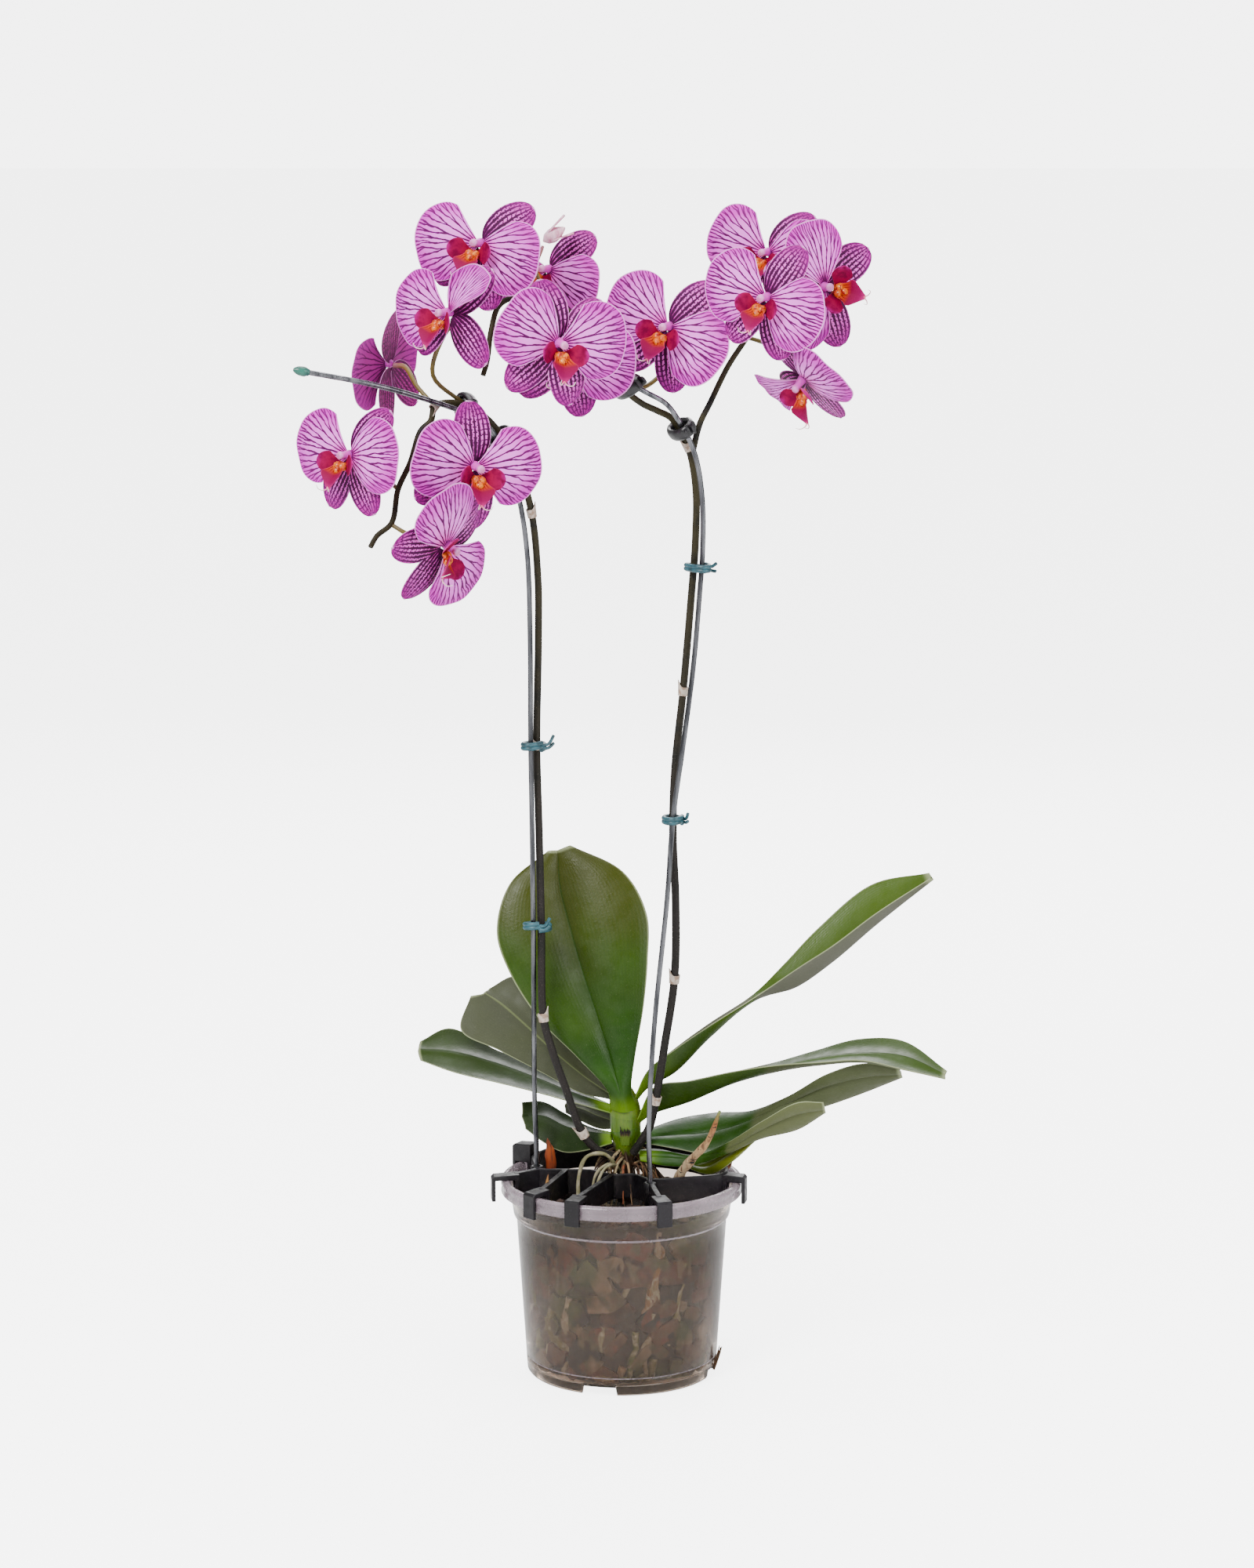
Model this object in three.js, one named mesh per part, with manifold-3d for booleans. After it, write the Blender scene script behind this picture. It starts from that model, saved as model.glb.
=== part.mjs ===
// Potted moth orchid: two staked flower spikes with fourteen striped blooms, ten leaves, a clear
// nursery pot and the dark support ring that its two wires stand in.
// Millimetres, +Z up, and -Y is the front. Lengths are laid out from the middle of the pot's foot,
// and the whole plant is then moved to stand with the middle of its extents on the origin.

import * as THREE from 'three';
import { mergeVertices } from 'three/addons/utils/BufferGeometryUtils.js';
import Module from 'manifold-3d';

const wasm = await Module();
wasm.setup();

// ---------------------------------------------------------------- driving dimensions

const GAP = 0.3; // clearance that touching pieces keep
const POT_FOOT = [-4, 30, 0]; // where the middle of the pot's foot ends up

const POT = {
  height: 103,
  rimRadius: 62.5,
  rimDepth: 7.5,
  neckRadius: 57.5, // just under the rim
  stepRadius: 54.6, // top of the straight taper
  stepHeight: 83,
  baseRadius: 49,
  wall: 1,
  footHeight: 4.7, // raised floor, and the height of the drainage notches
  sides: 28,
};
const NOTCH = { width: 17, angles: [-104, -14, 76, 166] };
const DRAIN_HOLE = { radius: 3.2, circle: 30, count: 6 };

const MEDIUM = { top: 90, bumps: 1.6 };

const CROWN = { x: 2, y: 4, foot: 84, top: 149, radius: 8.2 };

const RING = {
  top: 108,
  depth: 13,
  wall: 1.8,
  armWidth: 3,
  clipWidth: 8,
  clipDepth: 11,
  clipThickness: 1.9,
};

const WIRE_RADIUS = 1.3;
const STEM = { foot: 2.2, tip: 1.3, branch: 1.6 };
const PEDICEL = { foot: 1, head: 1.3 };

const BLADE = 0.9; // thickness of petals and sepals
const PETAL = { length: 36, start: 2, narrow: 53, wide: 58, corner: 0.36, lift: 8, fold: 18 };
const SEPAL = { width: 10.5, start: 2, dorsal: 32, lateral: 33 };
const COLUMN = { radius: 2.5, length: 10, back: 3.2 };
// The lip's middle lobe runs down and forward from under the column.
const LIP = {
  line: [[0, -3.7, 3.4], [0, -7.5, 7.5], [0, -11, 12], [0, -17, 14.5]],
  widths: [2.6, 4.3, 6.5, 1.1],
  callus: 3,
};
// A side lobe of the lip: where it starts, which way it points and widens, and which way it faces.
const LOBE = {
  start: [1.4, -5.2, 3.6],
  along: [11.15, 2.45, 7.5],
  across: [0.15, -0.98, 0.1],
  inward: [-0.55, 0, 0.82],
  widths: [1.5, 3.8, 5.4, 2.6],
  thickness: 0.8,
};

// ---------------------------------------------------------------- colours

const finish = (color, roughness, metalness = 0) => ({ color, roughness, metalness });
const FINISH = {
  pot: finish(0xb9b2b6, 0.35),
  medium: finish(0x5a4536, 0.95),
  ring: finish(0x2b232d, 0.45),
  leaf: finish(0x4a6a1c, 0.4),
  crown: finish(0x7da018, 0.45),
  stem: finish(0x4a4740, 0.55),
  root: finish(0xa8a184, 0.8),
  husk: finish(0xa9855a, 0.9),
  petal: finish(0xe4a6ea, 0.5),
  lip: finish(0xc0123f, 0.4),
  bud: finish(0xe6bccb, 0.5),
  wire: finish(0x8a8f96, 0.3, 1),
  tie: finish(0x2f5a60, 0.5),
  clip: finish(0x1c1b1e, 0.4),
  cap: finish(0x2a6a5c, 0.4),
};

// ---------------------------------------------------------------- where things grow

/**
 * Blooms, each where its petals meet. yaw turns the way it faces to the right (degrees from the
 * front), pitch tips it up and roll turns it to the left. sepals are the directions of its top,
 * left and right sepal (degrees, anticlockwise from its right), and stalk is the line of its
 * pedicel, from the foot on the stem to the bend behind the bloom. left and right, where a petal
 * isn't as usual, are how many degrees it is lifted and what share of its width is unfolded.
 */
const BLOOMS = [
  { name: 'bloom_01', at: [-69, -45, 583], yaw: -25, pitch: 5, roll: -8, size: 0.97,
    left: [-4, 1], right: [-12, 0.95], sepals: [44, 214, 291],
    stalk: [[-60, -30, 553], [-59, -25, 567]] },
  { name: 'bloom_02', at: [-83, -80, 551], yaw: -42, pitch: 3, roll: -5, size: 0.95,
    left: [2, 1], right: [42, 0.42], sepals: [50, 213, 322],
    stalk: [[-77, -42, 505], [-92, -53, 520], [-86, -60, 540]] },
  { name: 'bloom_03', at: [-115, -34, 524], yaw: -115, pitch: 5, roll: -20, size: 0.92,
    sepals: [90, 232, 308],
    stalk: [[-91, -54, 505], [-100, -47, 514]] },
  { name: 'bloom_04', at: [-132, -70, 482], yaw: -38, pitch: 3, roll: -5, size: 0.93,
    sepals: [53, 235, 304],
    stalk: [[-109, -62, 465], [-117, -60, 472]] },
  { name: 'bloom_05', at: [-71, -78, 477], yaw: 28, pitch: -6, roll: -8, size: 0.98,
    sepals: [99, 209, 289],
    stalk: [[-54, -23, 479], [-50, -31, 474], [-57, -48, 473], [-72, -64, 477]] },
  { name: 'bloom_06', at: [-84, -100, 441], yaw: 50, pitch: -20, roll: -58, size: 0.97,
    sepals: [90, 232, 308],
    stalk: [[-112, -66, 448], [-104, -71, 444]] },
  { name: 'bloom_07', at: [-30, -88, 537], yaw: 24, pitch: -6, roll: -8, size: 0.97,
    left: [18, 1], right: [12, 1], sepals: [113, 224, 302],
    stalk: [[-36, -30, 555], [-45, -43, 561], [-45, -64, 555]] },
  { name: 'bloom_08', at: [-37, 2, 569], yaw: -28, pitch: 5, roll: -38, size: 0.9,
    left: [-40, 0.85], sepals: [76, 232, 308],
    stalk: [[-20, -35, 545], [-20, -20, 538], [-24, -2, 542], [-27, 12, 556]] },
  { name: 'bloom_09', at: [-26, -50, 530], yaw: -5, pitch: 0, roll: -20, size: 0.95,
    sepals: [80, 232, 308],
    stalk: [[-5, -39, 523], [-13, -34, 520]] },
  { name: 'bloom_10', at: [23, -32, 542], yaw: -24, pitch: 2, roll: -18, size: 0.97,
    left: [12, 1], right: [-12, 1], sepals: [61, 229, 296],
    stalk: [[2, -38, 512], [9, -33, 512], [17, -24, 516], [27, -17, 527]] },
  { name: 'bloom_11', at: [73, 10, 577], yaw: -26, pitch: 2, roll: -12, size: 0.92,
    sepals: [50, 232, 308],
    stalk: [[85, 27, 562], [84, 31, 571]] },
  { name: 'bloom_12', at: [70, -72, 558], yaw: -28, pitch: 0, roll: -12, size: 0.92,
    left: [8, 1], right: [-12, 1], sepals: [68, 227, 300],
    stalk: [[61, -14, 534], [66, -30, 542], [74, -50, 553]] },
  { name: 'bloom_13', at: [100, -35, 562], yaw: 20, pitch: 0, roll: 73, size: 0.95,
    left: [23, 0.8], right: [38, 0.75], sepals: [90, 211, 329],
    stalk: [[66, 0, 540], [80, -10, 541], [90, -22, 551]] },
  { name: 'bloom_14', at: [89, -57, 518], yaw: -52, pitch: -42, roll: 8, size: 0.95,
    left: [-4, 0.6], sepals: [96, 196, 266],
    stalk: [[63, -9, 536], [78, -24, 532], [95, -44, 528]] },
];

const SPIKES = {
  left: {
    line: [
      [-1, 1, 112], [-12, -6, 118], [-20, -9, 128], [-29, -11, 153], [-36, -12, 174],
      [-40, -12, 190], [-41, -9, 237], [-42, -7, 286], [-43, -6, 330], [-42, -8, 382],
      [-42, -10, 415],
      [-45, -14, 449], [-51, -20, 471], [-59, -28, 488], [-68, -36, 499], [-77, -42, 505],
      [-91, -54, 505], [-93, -56, 498], [-98, -57, 493], [-103, -59, 478], [-109, -62, 465],
      [-112, -66, 449], [-119, -70, 443], [-122, -74, 438],
    ],
    nodes: [2, 5, 8, 11, 16],
    blooms: ['bloom_02', 'bloom_03', 'bloom_04', 'bloom_05', 'bloom_06'],
  },
  right: {
    line: [
      [6, -3, 116], [14, -7, 130], [17.5, -10, 146], [22, -13, 175], [27, -16, 211],
      [27.5, -20, 251],
      [26, -22, 288], [27, -22, 321], [31, -22, 360], [35, -22, 408], [37, -22, 436],
      [37, -22, 463], [33, -24, 483], [25, -28, 497], [18, -31, 501], [10, -34, 505],
      [2, -38, 512], [-9, -40, 530], [-20, -35, 545], [-36, -30, 555], [-51, -28, 557],
      [-60, -30, 553], [-64, -34, 541], [-66, -38, 526], [-68, -40, 519],
    ],
    nodes: [2, 4, 8, 12],
    blooms: [
      'bloom_01', 'bloom_07', 'bloom_08', 'bloom_09', 'bloom_10', 'bloom_11', 'bloom_12',
      'bloom_13', 'bloom_14',
    ],
    branch: [
      [35, -23, 478], [39, -22, 494], [44, -20, 504], [53, -16, 522], [61, -14, 534],
      [69, 8, 543], [77, 20, 552], [85, 27, 562], [90, 29, 572],
    ],
  },
};

const BUD = {
  at: [-38, -12, 584],
  lean: 58,
  stalk: [[-36, -30, 555], [-42, -22, 570], [-39, -13, 581]],
};

const WIRES = {
  left: [
    [-44, 4.4, 16], [-44, 4.4, 98], [-44, 4.3, 110], [-45, 1, 145], [-45, -6, 187], [-45, -10, 237],
    [-45.5, -10.5, 290], [-46, -11, 330], [-46, -12.5, 383], [-47, -15, 425], [-50, -19, 451],
    [-55, -25, 472], [-61, -33, 487], [-69, -42, 497], [-78, -50, 502], [-93, -60, 508],
    [-111, -68, 514], [-126, -74, 518], [-150, -82, 523],
  ],
  right: [
    [14.6, -29, 16], [14.6, -29, 98], [14.6, -29.1, 110], [14, -31, 127], [14.5, -32, 155],
    [17, -31, 194],
    [23, -29, 254], [26, -28, 296], [31, -28, 333], [36, -28, 373], [39, -28, 409], [40.5, -28, 432],
    [40, -28, 460], [36, -30, 481], [28, -34, 497], [22, -37, 505], [12, -42, 511], [3, -44, 516],
    [-3, -45, 520],
  ],
};

// Each tie and clip holds a stem to its wire at one of the stem's points.
const TIE = { thickness: 1, sides: 3, band: 1 };
const TIES = [
  { side: 'left', point: 8, tail: [-7, 3] },
  { side: 'left', point: 6, tail: [-5, 3] },
  { side: 'right', point: 9.5, tail: [5, 1] },
  { side: 'right', point: 6.2, tail: [4, 2] },
];
const CLIP = { thickness: 1.7, sides: 4, band: 1.9, grip: [3.6, 5, 5.6] };
const CLIPS = [
  { side: 'left', point: 13 },
  { side: 'left', point: 15 },
  { side: 'right', point: 12.6 },
  { side: 'right', point: 16 },
];

// The aerial roots spring from one knot at the crown's foot.
const ROOT_KNOT = { at: [0, -2.6, 105], radius: 2.4 };
const AERIAL_ROOTS = [
  { line: [[-9, -9, 117], [-18, -11, 116], [-22, -12, 106], [-22, -13, 88]], radius: 1 },
  { line: [[-7, -11, 112], [-13, -15, 108], [-16, -16, 88]], radius: 0.8 },
  { line: [[-4, -11, 112], [-9, -17, 111], [-13, -21, 102], [-13, -22, 88]], radius: 0.7 },
  { line: [[6, -9, 104], [11, -12, 99], [12, -13, 88]], radius: 0.7 },
];
const OLD_STUB = [[28, -12, 88], [29.5, -15, 106], [36, -22, 117.5], [44, -29, 129], [50, -34, 146]];

// ---------------------------------------------------------------- solids

const rad = THREE.MathUtils.degToRad;
const vec = (x, y, z) => new THREE.Vector3(x, y, z);
const curveThrough = (points, Curve = THREE.CatmullRomCurve3) =>
  new Curve(points.map(([x, y, z]) => vec(x, y, z)), false, 'centripetal');

/** A curve whose steps fall on its own points, so that they lie close together in its bends. */
class Route extends THREE.CatmullRomCurve3 {
  getPointAt(along) {
    return this.getPoint(along);
  }

  getTangentAt(along) {
    return this.getTangent(along);
  }
}

/** Six times the volume that a closed indexed mesh holds, negative where its faces point in. */
function signedVolume(geometry) {
  const corners = [vec(), vec(), vec()];
  let total = 0;
  for (let i = 0; i < geometry.index.count; i += 3) {
    corners.forEach((corner, k) => {
      corner.fromBufferAttribute(geometry.attributes.position, geometry.index.getX(i + k));
    });
    total += corners[0].dot(corners[1].clone().cross(corners[2]));
  }
  return total;
}

/** Keeps only positions, merges shared corners and turns the faces outwards. */
function closed(geometry) {
  const bare = geometry.clone();
  bare.deleteAttribute('normal');
  bare.deleteAttribute('uv');
  const merged = mergeVertices(bare, 1e-4);
  if (signedVolume(merged) < 0) merged.setIndex(Array.from(merged.index.array).reverse());
  return merged;
}

/** A closed geometry as a solid that can be joined and cut. */
function solid(geometry) {
  const merged = closed(geometry);
  const mesh = new wasm.Mesh({
    numProp: 3,
    vertProperties: new Float32Array(merged.attributes.position.array),
    triVerts: new Uint32Array(merged.index.array),
  });
  return new wasm.Manifold(mesh);
}

const fuse = (geometries) => geometries.map(solid).reduce((whole, piece) => whole.add(piece));
const cut = (whole, geometries) =>
  geometries.reduce((rest, tool) => rest.subtract(solid(tool)), whole);

/** A solid back as a geometry. */
function toGeometry(manifold) {
  const mesh = manifold.getMesh();
  const geometry = new THREE.BufferGeometry();
  geometry.setAttribute('position', new THREE.BufferAttribute(mesh.vertProperties, 3));
  geometry.setIndex(new THREE.BufferAttribute(mesh.triVerts, 1));
  return geometry;
}

/** A stem or root: a cylinder bent along a route, with its own radius at each step. */
function rod(points, radiusAt, sides = 6) {
  const route = curveThrough(points, Route);
  const steps = points.length - 1;
  const frames = route.computeFrenetFrames(steps, false);
  const geometry = new THREE.CylinderGeometry(1, 1, 1, sides, steps);
  const position = geometry.attributes.position;
  for (let i = 0; i < position.count; i += 1) {
    const along = position.getY(i) + 0.5;
    const step = Math.round(along * steps);
    const radius = radiusAt(along);
    const point = route.getPointAt(along);
    point.addScaledVector(frames.normals[step], position.getX(i) * radius);
    point.addScaledVector(frames.binormals[step], position.getZ(i) * radius);
    position.setXYZ(i, point.x, point.y, point.z);
  }
  return closed(geometry);
}

/** A wire of one thickness along a route. */
function wire(points, radius, sides) {
  const corners = Array.from({ length: sides }, (_, k) => {
    const angle = (2 * Math.PI * k) / sides;
    return new THREE.Vector2(radius * Math.cos(angle), radius * Math.sin(angle));
  });
  const steps = points.length - 1;
  const options = { steps, extrudePath: curveThrough(points, Route), bevelEnabled: false };
  return closed(new THREE.ExtrudeGeometry(new THREE.Shape(corners), options));
}

/**
 * A thin blade. middle(s, t) is its mid-surface, with s from root to tip and t from -1 to 1
 * across, and half(s, t) the step from there to its upper face. Both faces are split alike.
 */
function blade(middle, half, along, across) {
  const positions = [];
  const index = [];
  const columns = across + 1;
  const layer = columns * (along + 1);
  for (const side of [1, -1]) {
    for (let row = 0; row <= along; row += 1) {
      for (let column = 0; column < columns; column += 1) {
        const s = row / along;
        const t = (2 * column) / across - 1;
        positions.push(...middle(s, t).addScaledVector(half(s, t), side));
      }
    }
  }
  const quad = (a, b, c, d) => index.push(a, b, c, a, c, d);
  for (let row = 0; row < along; row += 1) {
    for (let column = 0; column < across; column += 1) {
      const a = row * columns + column;
      const corners = [a, a + 1, a + columns + 1, a + columns];
      quad(...corners);
      index.push(corners[2] + layer, corners[1] + layer, corners[0] + layer);
      index.push(corners[3] + layer, corners[2] + layer, corners[0] + layer);
    }
  }
  const edge = (a, b) => quad(b, a, a + layer, b + layer);
  for (let column = 0; column < across; column += 1) {
    edge(column, column + 1);
    edge(along * columns + column + 1, along * columns + column);
  }
  for (let row = 0; row < along; row += 1) {
    edge((row + 1) * columns, row * columns);
    edge(row * columns + across, (row + 1) * columns + across);
  }
  const geometry = new THREE.BufferGeometry();
  geometry.setAttribute('position', new THREE.Float32BufferAttribute(positions, 3));
  geometry.setIndex(index);
  return closed(geometry);
}

const plant = new THREE.Group();

/** Adds one named piece to the plant. */
function place(name, shape, look) {
  const geometry = shape.isBufferGeometry ? shape : toGeometry(shape);
  const piece = new THREE.Mesh(geometry, new THREE.MeshStandardMaterial(look));
  piece.name = name;
  plant.add(piece);
  return piece;
}

// ---------------------------------------------------------------- pot

/** Outer radius of the pot's straight taper at a height. */
const potRadius = (z) =>
  POT.baseRadius + ((POT.stepRadius - POT.baseRadius) * z) / POT.stepHeight;

function latheAboutZ(profile, sides) {
  const points = profile.map(([r, z]) => new THREE.Vector2(r, z));
  return new THREE.LatheGeometry(points, sides).rotateX(Math.PI / 2);
}

function pot() {
  const { height, rimRadius, rimDepth, neckRadius, stepRadius, stepHeight, wall } = POT;
  const floor = POT.footHeight;
  const neckHeight = height - rimDepth;
  const profile = [
    [0, floor],
    [45.5, floor],
    [46, 0],
    [47.9, 0],
    [potRadius(1.6), 1.6],
    [stepRadius, stepHeight],
    [stepRadius + 1.4, stepHeight + 1.2],
    [neckRadius, neckHeight - 0.8],
    [rimRadius, neckHeight],
    [rimRadius, height - 0.5],
    [rimRadius - 3, height],
    [neckRadius + 0.6, height - 1.6],
    [neckRadius - wall, neckHeight - 0.8],
    [stepRadius + 1.4 - wall, stepHeight + 1.6],
    [stepRadius - wall, stepHeight + 0.4],
    [potRadius(floor + 1) - wall, floor + 1],
    [0, floor + 1],
  ];
  const notches = NOTCH.angles.map((angle) => {
    const notch = new THREE.BoxGeometry(14, NOTCH.width, 2 * POT.footHeight - 0.4);
    notch.translate(47, 0, 0);
    return notch.rotateZ(rad(angle));
  });
  const holes = Array.from({ length: DRAIN_HOLE.count }, (_, k) => {
    const hole = new THREE.CylinderGeometry(DRAIN_HOLE.radius, DRAIN_HOLE.radius, 6, 6);
    hole.rotateX(Math.PI / 2).translate(DRAIN_HOLE.circle, 0, floor);
    return hole.rotateZ((2 * Math.PI * k) / DRAIN_HOLE.count);
  });
  return cut(solid(latheAboutZ(profile, POT.sides)), [...notches, ...holes]);
}

// ---------------------------------------------------------------- support ring

// The ring's wall in plan, from its left end round the front to the back.
const RING_OUTLINE = [
  [-45, 8], [-43, -3], [-28, -5], [-16, -6], [-4, -15], [6, -14], [15, -24], [34, -20], [52, -13],
  [53.5, 6], [44, 30], [22, 46], [-8, 50], [-36, 40], [-46, 24],
];
// Each arm runs from a point of the wall to the rim at its angle. Two of their clips reach further
// out than the rest, and two stand higher.
const RING_ARMS = [
  { from: [51, -10], angle: -11, further: 0.6, rise: 1 },
  { from: [14, -24], angle: -70 },
  { from: [-5, -14.5], angle: -113 },
  { from: [-29, -5], angle: -137 },
  { from: [-43, -3], angle: 187, further: 3 },
  { from: [-44, 26], angle: 149, rise: 7 },
  { from: [-8, 50], angle: 100 },
  { from: [42.5, 31], angle: 36 },
];
const WIRE_FEET = { left: [-44, 4.4], right: [14.6, -29] };

function ringWall() {
  const curve = new THREE.CatmullRomCurve3(RING_OUTLINE.map(([x, y]) => vec(x, y, 0)), true);
  const steps = 30;
  const outline = (offset) =>
    Array.from({ length: steps }, (_, k) => {
      const point = curve.getPoint(k / steps);
      const tangent = curve.getTangent(k / steps);
      return new THREE.Vector2(point.x + tangent.y * offset, point.y - tangent.x * offset);
    });
  const shape = new THREE.Shape(outline(RING.wall / 2));
  shape.holes.push(new THREE.Path(outline(-RING.wall / 2)));
  const wall = new THREE.ExtrudeGeometry(shape, { depth: RING.depth, bevelEnabled: false });
  return wall.translate(0, 0, RING.top - RING.depth);
}

/** A plate standing on its edge, cut to a profile of [distance, height] points. */
function plate(profile, width) {
  const shape = new THREE.Shape(profile.map(([r, z]) => new THREE.Vector2(r, z)));
  const geometry = new THREE.ExtrudeGeometry(shape, { depth: width, bevelEnabled: false });
  return geometry.translate(0, 0, -width / 2).rotateX(Math.PI / 2);
}

function ringArm({ from, angle, further = 0, rise = 0 }) {
  const outer = POT.rimRadius + GAP + 0.1 + RING.clipThickness + further;
  const seat = POT.height + GAP;
  const inner = POT.neckRadius - POT.wall - 0.8;
  const end = vec(inner * Math.cos(rad(angle)), inner * Math.sin(rad(angle)), 0);
  const start = vec(from[0], from[1], 0);
  const reach = end.distanceTo(start);
  const low = RING.top - RING.depth;
  const arm = plate(
    [[-0.6, low], [reach, low + 1], [reach + 1.2, seat + 0.2], [reach, seat + 3], [-0.6, RING.top]],
    RING.armWidth,
  );
  arm.rotateZ(Math.atan2(end.y - start.y, end.x - start.x)).translate(start.x, start.y, 0);
  const clip = plate(
    [
      [inner - 2.2, low + 3], [inner, low + 3], [inner, seat], [outer - RING.clipThickness, seat],
      [outer - RING.clipThickness, seat - RING.clipDepth], [outer, seat - RING.clipDepth],
      [outer, seat + 1 + rise], [outer - 1.2, seat + 2.2 + rise], [inner - 2.2, seat + 3 + rise],
    ],
    RING.clipWidth,
  );
  return [arm, clip.rotateZ(rad(angle))];
}

function upright(radius, [x, y], low, high, sides = 8) {
  const post = new THREE.CylinderGeometry(radius, radius, high - low, sides);
  return post.rotateX(Math.PI / 2).translate(x, y, (low + high) / 2);
}

function supportRing() {
  const low = RING.top - RING.depth;
  const feet = Object.values(WIRE_FEET);
  const sockets = feet.map((foot) => upright(WIRE_RADIUS + 2, foot, low, RING.top - 0.6));
  const bores = feet.map((foot) => upright(WIRE_RADIUS + GAP + 0.1, foot, low - 1, RING.top + 1));
  return cut(fuse([ringWall(), ...RING_ARMS.flatMap(ringArm), ...sockets]), bores);
}

// ---------------------------------------------------------------- potting medium and crown

/** The crown's own outline, grown by a clearance where something is cut to stand clear of it. */
function crown(clearance = 0) {
  const { foot, top, radius } = CROWN;
  const profile = [
    [0, foot - clearance],
    [radius * 0.5 + clearance, foot - clearance],
    [radius * 0.55 + clearance, foot + 22],
    [radius * 0.68 + clearance, foot + 32],
    [radius * 0.97 + clearance, foot + 41],
    [radius + clearance, foot + 52],
    [radius * 0.84 + clearance, top - 7],
    [radius * 0.5 + clearance, top + clearance],
    [0, top + clearance],
  ];
  return latheAboutZ(profile, 10).translate(CROWN.x, CROWN.y, 0);
}

function pottingMedium() {
  const low = POT.footHeight + 1 + GAP + 0.2;
  const clear = POT.wall + GAP + 0.2;
  const profile = [
    [0, low],
    [potRadius(low) - clear - 2, low],
    [potRadius(low) - clear, low + 2],
    [POT.stepRadius - clear, POT.stepHeight],
    [POT.stepRadius - clear + 0.8, MEDIUM.top],
    [40, MEDIUM.top + 1],
    [28, MEDIUM.top + 2],
    [15, MEDIUM.top + 2],
    [0, MEDIUM.top + 2],
  ];
  const body = closed(latheAboutZ(profile, 22));
  const position = body.attributes.position;
  for (let i = 0; i < position.count; i += 1) {
    const [x, y, z] = [position.getX(i), position.getY(i), position.getZ(i)];
    if (z < MEDIUM.top - 0.1) continue;
    const bump = Math.sin(x * 0.43 + 1) * Math.cos(y * 0.37) - 0.6;
    position.setZ(i, z + MEDIUM.bumps * bump);
  }
  const sockets = Object.values(WIRE_FEET).map((foot) =>
    upright(WIRE_RADIUS + GAP + 0.2, foot, 14, MEDIUM.top + 10));
  return cut(solid(body), [crown(GAP), ...sockets]);
}

// ---------------------------------------------------------------- leaves

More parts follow.
